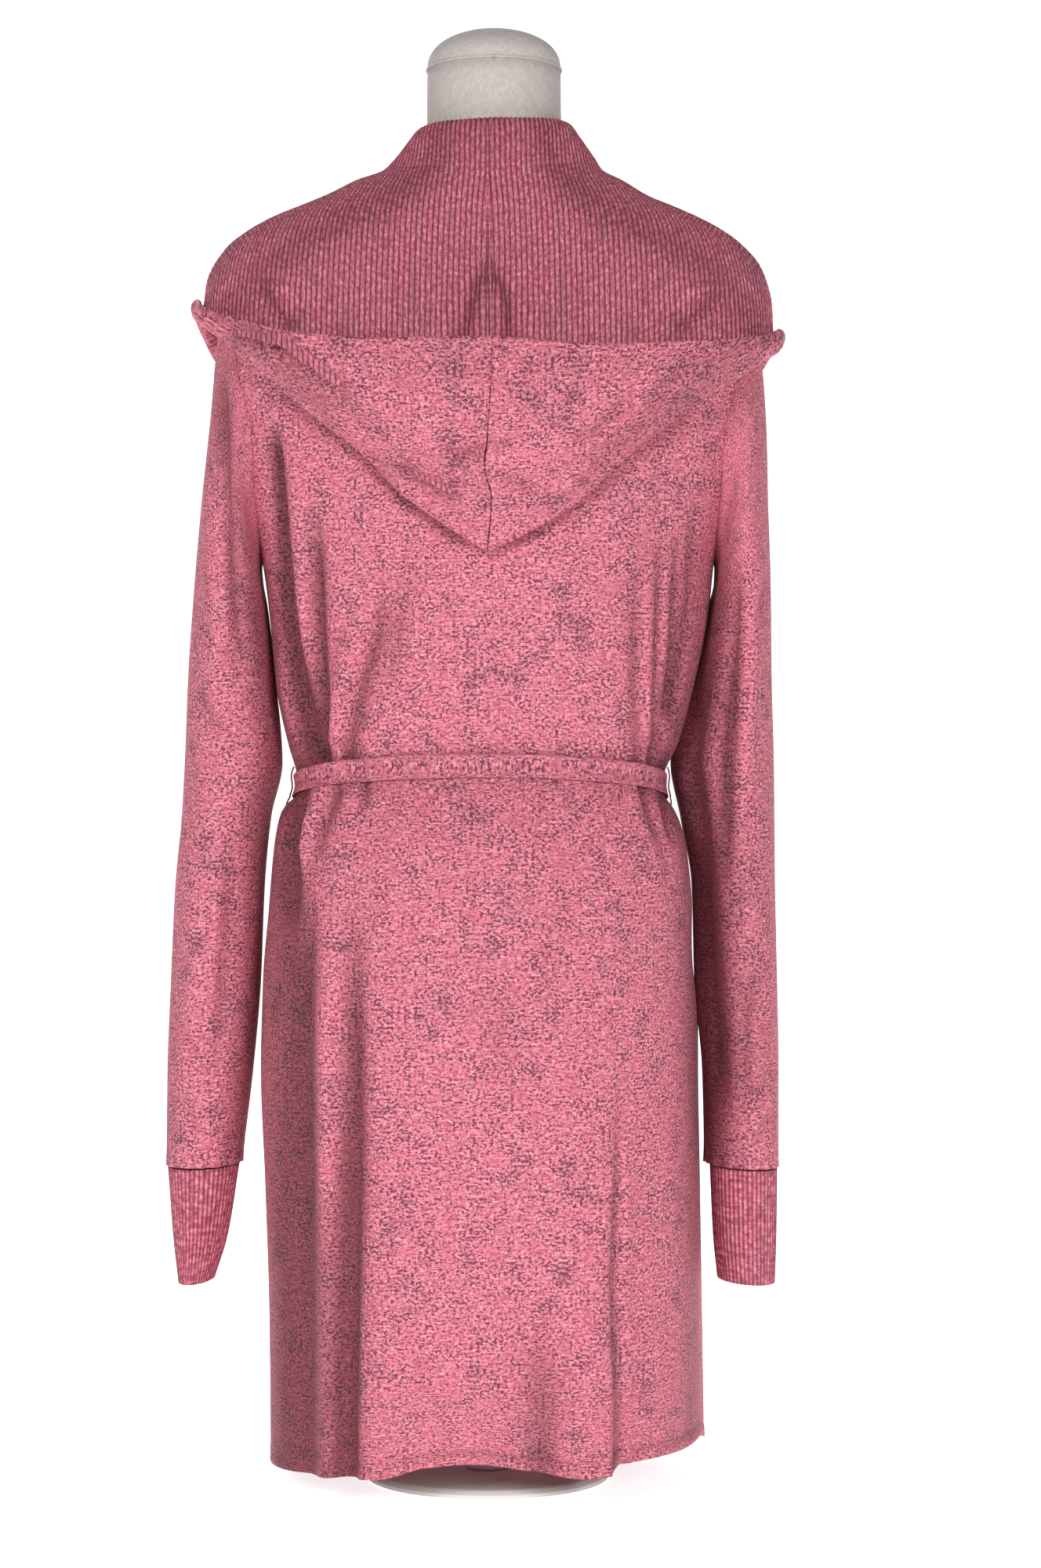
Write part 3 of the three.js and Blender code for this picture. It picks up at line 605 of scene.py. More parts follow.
class Shader:
    """A material built node by node around one Principled shader."""

    def __init__(self, name, roughness, **constants):
        self.material = bpy.data.materials.new(name)
        self.material.use_nodes = True
        self.tree = self.material.node_tree
        self.surface = self.tree.nodes["Principled BSDF"]
        self.surface.inputs["Roughness"].default_value = roughness
        for socket, value in constants.items():
            self.surface.inputs[socket.replace("_", " ")].default_value = value

    def add(self, kind, inputs=(), **settings):
        node = self.tree.nodes.new(kind)
        for setting, value in settings.items():
            setattr(node, setting, value)
        for socket, value in dict(inputs).items():
            if isinstance(value, bpy.types.NodeSocket):
                self.tree.links.new(value, node.inputs[socket])
            else:
                node.inputs[socket].default_value = value
        return node

    def link(self, output, socket):
        self.tree.links.new(output, self.surface.inputs[socket])

    def grain(self):
        """The cloth's own coordinates in millimetres: courses along X, wales along Y."""
        uv = self.add("ShaderNodeUVMap", uv_map="Grain")
        return self.scaled(uv.outputs["UV"], (1 / MM, 1 / MM, 0))

    def scaled(self, vector, scale):
        node = self.add("ShaderNodeVectorMath", {0: vector, 1: scale}, operation="MULTIPLY")
        return node.outputs["Vector"]

    def noise(self, vector, size, detail=2.0, roughness=0.5):
        """Noise whose features are about size (along, up) millimetres."""
        placed = self.scaled(vector, (1 / size[0], 1 / size[1], 1 / size[0]))
        inputs = {"Vector": placed, "Scale": 1.0, "Detail": detail, "Roughness": roughness}
        return self.add("ShaderNodeTexNoise", inputs, noise_dimensions="3D").outputs["Fac"]

    def math(self, operation, a, b=0.0):
        return self.add("ShaderNodeMath", {0: a, 1: b}, operation=operation).outputs[0]

    def total(self, *terms):
        """The sum of (value, weight) terms, each taken about its middle, 0.5."""
        result = 0.5
        for value, weight in terms:
            part = self.math("MULTIPLY", self.math("SUBTRACT", value, 0.5), weight)
            result = self.math("ADD", part, result)
        return result

    def ramp(self, value, low, high):
        inputs = {"Value": value, "From Min": low, "From Max": high}
        node = self.add("ShaderNodeMapRange", inputs, interpolation_type="SMOOTHSTEP")
        return node.outputs["Result"]

    def mix(self, factor, a, b):
        node = self.tree.nodes.new("ShaderNodeMix")
        node.data_type = "RGBA"
        for index, value in ((0, factor), (6, a), (7, b)):  # the colour sockets, whose names are shared
            if isinstance(value, bpy.types.NodeSocket):
                self.tree.links.new(value, node.inputs[index])
            else:
                node.inputs[index].default_value = value
        return node.outputs[2]

    def painted_fold_shade(self, colour, most):
        """The colour with painted shade, deeper and redder the deeper it lies in a fold."""
        depth = self.add("ShaderNodeAttribute", attribute_name="Depth").outputs["Fac"]
        parts = self.add("ShaderNodeMapRange", {"Value": depth, "To Max": most}).outputs["Result"]
        return self.mix(parts, colour, self.scaled(colour, FOLD_SHADE_TINT))

    def bump(self, height, distance, strength=1.0):
        inputs = {"Height": height, "Distance": distance, "Strength": strength}
        self.link(self.add("ShaderNodeBump", inputs).outputs["Normal"], "Normal")


def rgb(red, green, blue):
    """A colour given as 0 to 255 sRGB, for a shader."""
    parts = (c / 255 for c in (red, green, blue))
    return tuple(c / 12.92 if c <= 0.04045 else ((c + 0.055) / 1.055) ** 2.4 for c in parts) + (1.0,)


def shaded(colours, shade):
    return [tuple(c * shade for c in colour[:3]) + (1.0,) for colour in colours]


# Painted shade in folds: the colour is multiplied towards this tint.
FOLD_SHADE_TINT = (0.30, 0.20, 0.22)  # what is left of a colour at the bottom of a fold
LIGHT_PINK = rgb(246, 156, 171)
PINK = rgb(218, 121, 138)
ROSE = rgb(186, 92, 110)
PLUM = rgb(112, 47, 66)
JERSEY_TONES = [LIGHT_PINK, PINK, ROSE, PLUM]
RIB_TONES = [rgb(240, 146, 162), rgb(212, 114, 132), rgb(178, 84, 104), rgb(104, 42, 62)]
RIB_GROOVE_SHADE = rgb(164, 70, 92)
HAZE = rgb(150, 92, 114)
# The most that the painted fold shade moves a colour towards its tint.
FOLD_SHADE_MOST = 0.95


def marl(shader, grain, light, mid, deep, speck, specks=1.0):
    """Space-dyed yarn: light and deep dashes along the courses, dark specks in loose clusters and a faint
    mauve haze in patches. It also gives the noise along the courses and up the wales, for bump."""
    along = shader.noise(grain, (4.2, 1.4), 2, 0.6)
    upward = shader.noise(grain, (1.4, 3.6), 2, 0.6)
    course = shader.noise(grain, (16, 1.5), 1)
    cloud = shader.noise(grain, (15, 12), 3)
    patch = shader.noise(grain, (38, 60), 2)
    tone = shader.total((along, 1.2), (upward, 0.8), (course, 0.5), (cloud, 0.45), (patch, 0.3))
    colour = shader.mix(shader.ramp(tone, 0.28, 0.50), deep, mid)
    colour = shader.mix(shader.ramp(tone, 0.50, 0.74), colour, light)
    dot = shader.noise(grain, (2.3, 1.7), 2, 0.7)
    spots = shader.total((dot, 2.6), (cloud, 0.75), (patch, 0.3))
    dark = shader.math("MULTIPLY", shader.ramp(spots, 0.48, 0.74), specks)
    haze = shader.ramp(shader.total((patch, 1.3), (cloud, 0.7)), 0.52, 0.85)
    colour = shader.mix(shader.math("MULTIPLY", haze, 0.4), colour, HAZE)
    return shader.mix(dark, colour, speck), along, upward


def jersey(name, shade=1.0):
    shader = Shader(name, 0.78, Sheen_Weight=0.06, Sheen_Roughness=0.5, Sheen_Tint=rgb(255, 200, 210))
    colour, along, upward = marl(shader, shader.grain(), *shaded(JERSEY_TONES, shade))
    shader.link(shader.painted_fold_shade(colour, FOLD_SHADE_MOST), "Base Color")
    shader.bump(shader.total((along, 0.6), (upward, 0.4)), 0.0006, 0.7)
    return shader.material


def rib_knit(name, pitch):
    """Ribs run up the grain, one for each pitch across it, with painted shade in the grooves between them."""
    shader = Shader(name, 0.85, Sheen_Weight=0.05, Sheen_Roughness=0.5, Sheen_Tint=rgb(255, 190, 205))
    grain = shader.grain()
    stretched = shader.scaled(grain, (1.7, 0.45, 1))
    colour, along, upward = marl(shader, stretched, *RIB_TONES, specks=0.5)
    parts = shader.add("ShaderNodeSeparateXYZ", {0: grain})
    turn = shader.math("MULTIPLY", parts.outputs[0], 2 * math.pi / pitch)
    wave = shader.math("MULTIPLY", shader.math("COSINE", turn), 0.5)
    # Painted shade in the grooves between the ribs.
    between = shader.ramp(shader.math("SUBTRACT", 0.5, wave), 0.45, 1.0)
    deep = shaded([RIB_GROOVE_SHADE], 0.3)[0]
    colour = shader.mix(shader.math("MULTIPLY", between, 0.8), colour, deep)
    shader.link(shader.painted_fold_shade(colour, FOLD_SHADE_MOST), "Base Color")
    shader.bump(shader.total((along, 0.5), (upward, 0.5)), 0.0005, 0.6)
    return shader.material


def thread():
    shader = Shader("loop_thread", 0.75, Sheen_Weight=0.2)
    wound = shader.noise(shader.grain(), (0.5, 0.25))
    colour = shader.mix(shader.ramp(wound, 0.35, 0.65), rgb(120, 48, 70), rgb(170, 86, 106))
    shader.link(colour, "Base Color")
    shader.bump(wound, 0.0003)
    return shader.material


def linen():
    """Pale plain-woven cover cloth: slubs both ways and a faint mottling."""
    shader = Shader("form_cover", 0.88, Sheen_Weight=0.15)
    grain = shader.grain()
    weft = shader.noise(grain, (4.5, 0.55), 2)
    warp = shader.noise(grain, (0.55, 4.5), 2)
    mottle = shader.noise(grain, (9, 9), 2)
    tone = shader.total((weft, 0.8), (warp, 0.8), (mottle, 0.25))
    colour = shader.mix(shader.ramp(tone, 0.25, 0.75), rgb(180, 170, 166), rgb(210, 200, 195))
    shader.link(colour, "Base Color")
    shader.bump(shader.total((weft, 0.5), (warp, 0.5)), 0.0004, 0.6)
    return shader.material


def paint():
    """White powder coat with a fine orange-peel and slight dulling."""
    shader = Shader("stand_paint", 0.4)
    coordinates = shader.add("ShaderNodeTexCoord").outputs["Object"]
    where = shader.scaled(coordinates, (1 / MM, 1 / MM, 1 / MM))
    peel = shader.noise(where, (1.2, 1.2), 1)
    scuff = shader.noise(where, (45, 45), 4)
    shader.link(shader.mix(scuff, rgb(226, 224, 220), rgb(238, 237, 234)), "Base Color")
    shader.link(shader.math("MULTIPLY_ADD", scuff, 0.25), "Roughness")
    shader.bump(peel, 0.00008, 0.5)
    return shader.material


JERSEY = jersey("jersey")
# The belt is the same jersey painted darker all over, as painted shade.
SHADED_BELT_JERSEY = jersey("belt_jersey_shaded", 0.88)
RIB_PITCH = 3.7
CUFF_RIBS = 46
RIB_DEPTH = 0.9
RIB = rib_knit("rib_knit", RIB_PITCH)
CUFF_RIB = rib_knit("cuff_rib", 1.0)
THREAD = thread()
LINEN = linen()
PAINT = paint()


# ---- Cloth panels ----


def armhole_turn(level):
    share = (level - UNDERARM) / (SHOULDER - UNDERARM)
    return np.arccos(np.clip(1 - 2 * share, -1, 1))


def side_angle(level, back):
    """The angle at which a panel ends towards the side: the side seam, the armhole or the shoulder seam."""
    level = np.asarray(level, float)
    depth = (ARMHOLE_BACK if back else ARMHOLE_FRONT) * np.sin(armhole_turn(level))
    deep = curve(BODY_RINGS, level, 3 if back else 4)
    turned = np.degrees(np.arccos(np.clip(depth / deep, 0, 1) ** (ROUNDNESS / 2)))
    free = (level <= UNDERARM) | (level >= SHOULDER)
    return np.where(free, 90.0, turned if back else 180 - turned)


def back_neck_level(angle):
    fall = NECK_SIDE_LEVEL - NECK_BACK_LEVEL
    return NECK_SIDE_LEVEL - fall * np.cos(np.radians(angle)) ** 2


HEM_BLEND = 80  # above this level rows no longer follow the hem
BELOW_ARM_ROWS = 138
ARMHOLE_ROWS = 56
YOKE_ROWS = 16
BACK_COLUMNS = 132
FRONT_COLUMNS = 78
TURNED_COLUMNS = 2  # added at each edge that is turned in
HEM_DEPTH = 9.5
STITCH_ROWS = (HEM_DEPTH - 0.5, HEM_DEPTH - 4.5)
STITCH_GROOVE = 0.52
STITCH_SHADE = 2.6
BELT_SHADE = 3.4
BELT_SHADE_REACH = 11.5


def panel_levels():
    below = np.linspace(0, UNDERARM, BELOW_ARM_ROWS, endpoint=False)
    share = np.linspace(0, 1, ARMHOLE_ROWS)
    armhole = UNDERARM + (SHOULDER - UNDERARM) * (1 - np.cos(np.pi * share)) / 2
    yoke = np.linspace(SHOULDER, NECK_SIDE_LEVEL, YOKE_ROWS + 1)[1:]
    return np.concatenate([below, armhole, yoke])


def panel_level(level, angle):
    """A row's true level at an angle: its lowest rows follow the hem and its highest ones the neckline."""
    turn = wrapped(angle)
    hem = curve(HEM_LEVEL, turn)
    low = np.where(level < HEM_BLEND, hem + (HEM_BLEND - hem) * level / HEM_BLEND, level)
    share = (level - SHOULDER) / (NECK_SIDE_LEVEL - SHOULDER)
    high = SHOULDER + share * (back_neck_level(turn) - SHOULDER)
    return np.where((level > SHOULDER) & (np.abs(turn) <= 90), high, low)


def turned_in(grid, first=True, last=True, depth=3.0, start=0.8):
    """The grid with its side edges turned in towards the body, as a seam allowance is."""
    inward = -grid_normals(grid)
    parts = [grid]
    if first:
        parts.insert(0, np.concatenate([grid[:, :1] + inward[:, :1] * d for d in (depth, start)], axis=1))
    if last:
        parts.append(np.concatenate([grid[:, -1:] + inward[:, -1:] * d for d in (start, depth)], axis=1))
    return np.concatenate(parts, axis=1)


def padded(values, first=True, last=True):
    """Values for each point of a panel, repeated for the columns that turned_in adds."""
    columns = (TURNED_COLUMNS * first, TURNED_COLUMNS * last)
    return np.pad(values, [(0, 0), columns] + [(0, 0)] * (values.ndim - 2), mode="edge")


def stitches(height):
    """1 on the two rows of stitching that hold the hem, and 0 off them."""
    return sum(bell(height, row, 1.3) for row in STITCH_ROWS)


def hem_profile(height):
    """How far the surface of a turned-up hem stands out at a height above its edge, with its stitch rows."""
    step = 0.55 * (1 - smoothstep(height, HEM_DEPTH - 1.5, HEM_DEPTH + 1.5))
    return step - STITCH_GROOVE * stitches(height)


def panel_shade(level, height):
    """How much painted shade darkens a panel, under the belt and along the hem's stitch rows, as the depth of
    a trough.
    """
    return BELT_SHADE * bell(level, BELT_LEVEL, BELT_SHADE_REACH) + STITCH_SHADE * stitches(height)


BACK_CREASES = [
    (
        -11,
        [(149, 740), (145, 690), (142, 650), (138, 605), (131, 560), (125, 525), (120, 498)],
        (5.5, 5.5),
        (0.15, 0),
    ),
    (3, [(133, 700), (129, 640), (125, 590), (120, 545)], (5, 4), (0.4, 0.3)),
    (-7, [(118, 690), (115, 590), (113, 540), (113, 498)], (5, 6), (0.35, 0)),
    (4, [(88, 600), (98, 560), (103, 525), (105, 508)], (4, 5), (0.3, 0.05)),
    (-6, [(67, 635), (76, 585), (88, 542), (98, 498)], (7, 3), (0.4, 0)),
    (-2.5, [(52, 660), (58, 600), (72, 530)], (7, 7), (0.4, 0.3)),
    (-3.5, [(-102, 665), (-101, 555), (-104, 498)], (2.5, 5), (0.5, 0)),
    (1.8, [(-109, 650), (-107, 555), (-109, 508)], (4, 2.5), (0.5, 0.02)),
    (-5.5, [(-117, 668), (-114, 546), (-112, 498)], (5, 2), (0.4, 0)),
    (2.4, [(-121, 650), (-118, 560), (-116, 520)], (3, 4), (0.4, 0.1)),
    (-5, [(-130, 670), (-126, 570), (-120, 525)], (4.5, 2.5), (0.4, 0.1)),
    (-3, [(-142, 690), (-138, 610), (-131, 556), (-126, 520)], (4, 4), (0.3, 0.1)),
    (5.5, [(107, 486), (114, 473), (120, 457), (124, 441), (127, 420)], (2.4, 7), (0.08, 0.35)),
    (-5, [(101, 486), (108, 468), (114, 452), (118, 430)], (5, 3), (0.08, 0.4)),
    (-8, [(126, 484), (130, 455), (134, 420), (134, 380)], (5, 9), (0.1, 0.4)),
    (-4, [(82, 487), (83.5, 466)], (4, 4), (0.05, 0.7)),
    (-5.5, [(-104, 487), (-109, 466), (-113, 455), (-116, 440)], (4, 2), (0.05, 0.4)),
    (-5.5, [(-119, 482), (-123, 458), (-128, 440)], (4, 2), (0.05, 0.4)),
    (2, [(-98, 486), (-102, 462), (-104, 444)], (3, 5), (0.05, 0.6)),
    (-7, [(86, 430), (90, 340), (89, 250), (92, 150), (95, 60), (94, 10)], (8, 10), (0.3, 0)),
    (5, [(107, 410), (108, 330), (107, 240), (107, 150)], (5, 6), (0.3, 0.4)),
    (-6, [(122, 440), (125, 250), (125, 10)], (8, 16), (0.2, 0)),
    (-4, [(-89, 300), (-87, 230), (-84, 150), (-87, 70), (-86, 10)], (4, 2.2), (0.35, 0)),
    (2, [(-92, 280), (-92, 150), (-91, 10)], (5, 3), (0.3, 0)),
    (-3, [(-34, 150), (-37, 90), (-36, 10)], (10, 10), (0.6, 0)),
    (-1.5, [(20, 390), (-10, 330), (-20, 250)], (16, 16), (0.5, 0.5)),
    (-1.2, [(-60, 440), (-40, 380), (-45, 300)], (12, 12), (0.5, 0.5)),
    (-3.4, [(150, 762), (116, 733), (84, 709), (59, 681), (31, 658), (6, 641)], (5, 4), (0.1, 0.1)),
    (-2.6, [(-145, 743), (-119, 725), (-87, 699), (-56, 671), (-30, 655), (-3, 642)], (4, 5), (0.1, 0.1)),
]
FRONT_CREASES = [
    (-4, [(118, 640), (90, 575), (58, 508)], (6, 5), (0.4, 0.03)),
    (3, [(100, 640), (74, 575), (44, 508)], (5, 6), (0.4, 0.03)),
    (-4, [(-116, 645), (-86, 575), (-54, 508)], (6, 5), (0.4, 0.03)),
    (-3.5, [(148, 735), (145, 650), (135, 560), (126, 508)], (6, 5), (0.3, 0.03)),
    (-3.5, [(-148, 735), (-146, 650), (-134, 560), (-122, 508)], (5, 6), (0.3, 0.03)),
    (4, [(60, 486), (78, 440), (86, 400)], (3, 7), (0.05, 0.5)),
    (-3.5, [(-58, 486), (-74, 440), (-80, 395)], (5, 3), (0.05, 0.5)),
    (-5, [(84, 400), (88, 250), (90, 10)], (5, 9), (0.35, 0)),
    (4, [(-92, 390), (-94, 250), (-94, 10)], (7, 7), (0.35, 0)),
    (-4, [(-74, 380), (-76, 200), (-76, 10)], (7, 5), (0.35, 0)),
]


def back_panel():
    level = panel_levels()[:, None]
    share = np.linspace(-1, 1, BACK_COLUMNS)[None, :]
    angle = share * side_angle(level, True)
    grid = body_point(angle, panel_level(level, angle))
    out = crease_out(grid, BACK_CREASES)
    normals = grid_normals(grid)
    grid = grid + normals * (out * smoothstep(normals[..., 1], 0.1, 0.5))[..., None]
    height = panel_level(level, angle) - curve(HEM_LEVEL, wrapped(angle))
    high = CLOTH / 2 + hem_profile(height)
    # Painted shade: the creases' troughs, the back SHADES, and the cloth under the belt and along the hem's
    # stitch rows.
    out = padded(out + crease_out(grid, BACK_SHADES) - panel_shade(level, height))
    uv = np.stack([distances(grid, 1, BACK_COLUMNS // 2), np.broadcast_to(level, angle.shape)], -1)
    return wall("back_cloth", turned_in(grid), -CLOTH / 2, padded(high), JERSEY, uv=padded(uv), out=out)


def overlap_out(angle, level):
    round_front = smoothstep(angle, 135, 155)
    return OVERLAP_OUT * round_front * (1 - smoothstep(level, 600, 650))


def front_panel(name, side):
    """side is +1 for the left front and -1 for the right one, which lies over it."""
    level = panel_levels()[:, None]
    start = side_angle(level, False)
    share = np.linspace(0, 1, FRONT_COLUMNS)[None, :]
    angle = start + (curve(FRONT_EDGE, level) - start) * share
    over = overlap_out(angle, level) if side < 0 else 0.0
    grid = body_point(side * angle, panel_level(level, side * angle), over)
    if side < 0:
        grid = grid[:, ::-1]
    out = crease_out(grid, FRONT_CREASES)
    grid = grid + grid_normals(grid) * out[..., None]
    height = panel_level(level, side * angle) - curve(HEM_LEVEL, wrapped(side * angle))
    height = height[:, ::side]
    seam = {"first": side > 0, "last": side < 0}
    # Painted shade: the creases' troughs, and the cloth under the belt and along the hem's stitch rows.
    out = padded(out - panel_shade(level, height), **seam)
    high = padded(CLOTH / 2 + hem_profile(height), **seam)
    start_column = 0 if side > 0 else FRONT_COLUMNS - 1
    uv = np.stack([distances(grid, 1, start_column), np.broadcast_to(level, angle.shape)], -1)
    made = turned_in(grid, **seam)
    return wall(f"front_{name}_cloth", made, -CLOTH / 2, high, JERSEY, uv=padded(uv, **seam), out=out)


# ---- Sleeves and cuffs ----

SLEEVE_COLUMNS = 108
SLEEVE_ROWS = 150
SLEEVE_TUCK = 2.0  # how far its top edge is turned in under the shoulder
CUFF_ROWS = 24
POINTS_A_RIB = 6  # round the cuff


def station_ring(station, side, columns):
    inner_x, inner_z, outer_x, outer_z, half_depth, middle_y = station
    turn = np.linspace(0, 2 * np.pi, columns, endpoint=False)
    share = (1 - np.cos(turn)) / 2
    x = side * (inner_x + (outer_x - inner_x) * share)
    return np.stack([x, middle_y + half_depth * np.sin(turn), inner_z + (outer_z - inner_z) * share], -1)


def armhole_ring(side, columns):
    """The armhole from the underarm up its back edge to the shoulder point and down its front one."""
    turn = np.linspace(0, 2 * np.pi, columns, endpoint=False)
    level = UNDERARM + (SHOULDER - UNDERARM) * (1 - np.cos(turn)) / 2
    back = np.sin(turn) >= 0
    angle = np.where(back, side_angle(level, True), side_angle(level, False))
    clear = SEAM_GAP + 0.3 + 0.8 * ((1 + np.cos(turn)) / 2) ** 4
    return body_point(side * angle, level) + np.stack([side * clear, 0 * clear, 0 * clear], -1)


def through_rings(rings, rows):
    """A smooth skin through rings of points, with rows at equal distances."""
    rings = np.asarray(rings)
    gaps = np.linalg.norm(np.diff(rings, axis=0), axis=-1).mean(axis=1)
    places = np.concatenate([[0], np.cumsum(gaps)])
    return smooth_through(places, rings, np.linspace(0, places[-1], rows))


SLEEVE_CREASES = {
    "left": [
        (-4.5, [(186, 792), (181, 736), (178, 700), (174, 635), (171, 590), (170, 540)], (5, 7), (0.2, 0.3)),
        (3, [(194, 740), (190, 660), (187, 590), (184, 520)], (6, 6), (0.3, 0.3)),
        (-2.5, [(204, 610), (188, 585), (170, 562)], (5, 4), (0.4, 0.4)),
        (-2.5, [(207, 560), (190, 530), (166, 512)], (5, 4), (0.4, 0.4)),
        (-3, [(176, 470), (178, 400), (184, 330), (190, 270)], (6, 6), (0.35, 0.3)),
        (2, [(198, 450), (202, 370), (206, 290)], (6, 6), (0.4, 0.3)),
        (-2, [(214, 330), (204, 300), (190, 280)], (4, 4), (0.4, 0.4)),
        (-2, [(216, 280), (206, 256), (196, 236)], (4, 4), (0.4, 0.3)),
    ],
    "right": [
        (-5.5, [(-172, 660), (-171, 566), (-167, 506), (-165, 450), (-166, 400)], (5, 5), (0.3, 0.3)),
        (3, [(-183, 700), (-182, 600), (-179, 520), (-177, 440)], (6, 6), (0.3, 0.3)),
        (
            -8,
            [(-150, 600), (-142, 540), (-139, 500), (-147, 430), (-152, 350), (-160, 250)],
            (8, 8),
            (0.2, 0.15),
        ),
        (-2.5, [(-197, 640), (-184, 600), (-172, 580)], (5, 4), (0.4, 0.4)),
        (-3, [(-190, 380), (-182, 320), (-180, 250)], (6, 6), (0.4, 0.2)),
        (-2, [(-200, 300), (-190, 270), (-176, 250)], (4, 4), (0.4, 0.4)),
        (-2, [(-200, 262), (-190, 242), (-178, 232)], (4, 4), (0.4, 0.3)),
    ],
}
PUCKERS = 17
PUCKER_HEIGHT = 1.1
PUCKER_REACH = 9.0


def puckers(grid):
    """Small ripples where the sleeve is gathered into its cuff, highest at its lowest row."""
    turn = np.linspace(0, 2 * np.pi, grid.shape[1], endpoint=False)[None, :]
    ripple = np.cos(PUCKERS * turn + 1.5 * np.sin(3 * turn)) * (0.7 + 0.3 * np.cos(5 * turn))
    return PUCKER_HEIGHT * ripple * np.exp(-distances(grid, 0) / PUCKER_REACH)


def sleeve(name, side):
    rings = [armhole_ring(side, SLEEVE_COLUMNS)]
    rings += [station_ring(s, side, SLEEVE_COLUMNS) for s in SLEEVE_STATIONS[name]]
    grid = through_rings(rings, SLEEVE_ROWS)[::-1]
    if side < 0:
        grid = np.roll(grid[:, ::-1], 1, axis=1)
    normals = grid_normals(grid, True)
    facing = smoothstep(np.abs(normals[..., 1]), 0.05, 0.4)
    out = crease_out(grid, SLEEVE_CREASES[name], facing)
    grid = grid + normals * (out + puckers(grid))[..., None]
    # Painted shade: the creases' troughs, the sleeve SHADES and the puckers' troughs.
    out = out + crease_out(grid, SLEEVE_SHADES[name]) + 1.5 * puckers(grid)
    top, middle = grid[-1], grid[-1].mean(axis=0)
    inward = (middle - top) * 0.03 - np.array([side * SLEEVE_TUCK, 0, 0])
    grid = np.concatenate([grid, [top + inward * 0.35, top + inward]])
    out = np.pad(out, ((0, 2), (0, 0)), mode="edge")
    return wall(f"sleeve_{name}_cloth", grid, -CLOTH / 2, CLOTH / 2, JERSEY, wrap=True, out=out)


def cuff(name, side):
    columns = POINTS_A_RIB * CUFF_RIBS
    rings = [station_ring(s, side, columns) for s in CUFF_STATIONS[name]]
    grid = through_rings(rings, CUFF_ROWS)[::-1]
    if side < 0:
        grid = np.roll(grid[:, ::-1], 1, axis=1)
    across = np.arange(columns + 1) / POINTS_A_RIB
    ribs = 0.5 - 0.5 * np.cos(2 * np.pi * across[:-1])
    high = RIB_CLOTH / 2 - RIB_DEPTH * (1 - ribs)
    whole = closed_rows(grid)
    uv = np.stack([np.broadcast_to(across, whole.shape[:2]), distances(whole, 0)], -1)
    return wall(f"cuff_{name}_rib", grid, -RIB_CLOTH / 2, high, CUFF_RIB, wrap=True, uv=uv)


# ---- Hood ----

FALL_STEPS = 10
FALL_FINE = 61
FALL_OUT = 5.8
BAG_OUT = 8  # how far the bag's outer side lies off its inner one at the foot
FOOT_MARK = 3 + 1 + FALL_STEPS  # the control point where the fall ends


def hood_lines(place, name, side):
    """The hood's lines at these places as (place, control point, xyz): up from the neckline to the top fold,
    down the body to the foot of the bag and up to the rim."""
    seam = np.where(place <= 90, back_neck_level(place), curve(HOOD_NECK_LEVEL, place))
    past = np.where(place < 105, 90 + 2 * (place - 90), curve(FRONT_EDGE, seam) + 0.6)
    neck_angle = np.where(place <= 90, place, past)
    stand = curve(HOOD_STAND[name], place)
    top = seam + stand
    fold_drop = np.minimum(5, 0.4 * stand)
    rim_angle = curve(HOOD_RIM_ANGLE, place)
    rim, foot = curve(HOOD_RIM[name], place), curve(HOOD_FOOT[name], place)
    bag = rim - foot
    lie, rim_out = curve(HOOD_LIE_OUT[name], place), curve(HOOD_RIM_OUT, place)
    foot_rise = np.minimum(6, 0.5 * bag)
    zero = np.zeros(place.shape)
    line = [
        (neck_angle, seam + 1, zero + 0.2),
        (neck_angle, seam + 0.5 * stand, zero),
        (neck_angle, top - fold_drop, zero + 0.3),
        (neck_angle, top, zero + 3),
    ]
    share = np.linspace(0, 1, FALL_FINE)[:, None]
    angle = neck_angle + (rim_angle - neck_angle) * share
    start_level, end_level = top - fold_drop, foot + foot_rise
    level = start_level + (end_level - start_level) * share
    out = FALL_OUT + (lie - FALL_OUT) * np.minimum(1, 3 * share)
    out = out + curve(HOOD_BRIDGE[name], place) * np.sin(np.pi * np.minimum(1, share / BRIDGE_END))
    length = distances(ring_point(wrapped(angle), level), 0)
    for k in range(FALL_STEPS + 1):
        want = length[-1] * k / FALL_STEPS
        fine = np.array([np.interp(w, run, np.arange(FALL_FINE)) for w, run in zip(want, length.T)])
        low = np.minimum(fine.astype(int), FALL_FINE - 2)
        part = fine - low
        columns = np.arange(len(place))
        line.append([a[low, columns] * (1 - part) + a[low + 1, columns] * part for a in (angle, level, out)])
    line.append((rim_angle, foot, lie + BAG_OUT / 2))
    line.append((rim_angle, foot + foot_rise, lie + BAG_OUT))
    line.append((rim_angle, foot + 0.65 * bag, np.maximum(lie + BAG_OUT, rim_out + 0.05 * bag)))
    line.append((rim_angle, rim, rim_out))
    angle, level, out = (np.stack(column, -1) for column in zip(*line))
    return body_point(side * angle, level, out)


def along_lines(lines, rows_each):
    """Each line resampled with so many rows in each of its stretches between control points."""
    marks = np.concatenate([k + np.arange(n) / n for k, n in enumerate(rows_each)] + [[len(rows_each)]])
    made = []
    for line in lines:
        length = np.concatenate([[0], np.cumsum(np.linalg.norm(np.diff(line, axis=0), axis=1))])
        wanted = np.interp(marks, np.arange(len(line)), length)
        made.append(smooth_through(length, line, wanted))
    return np.stack(made, axis=1), marks


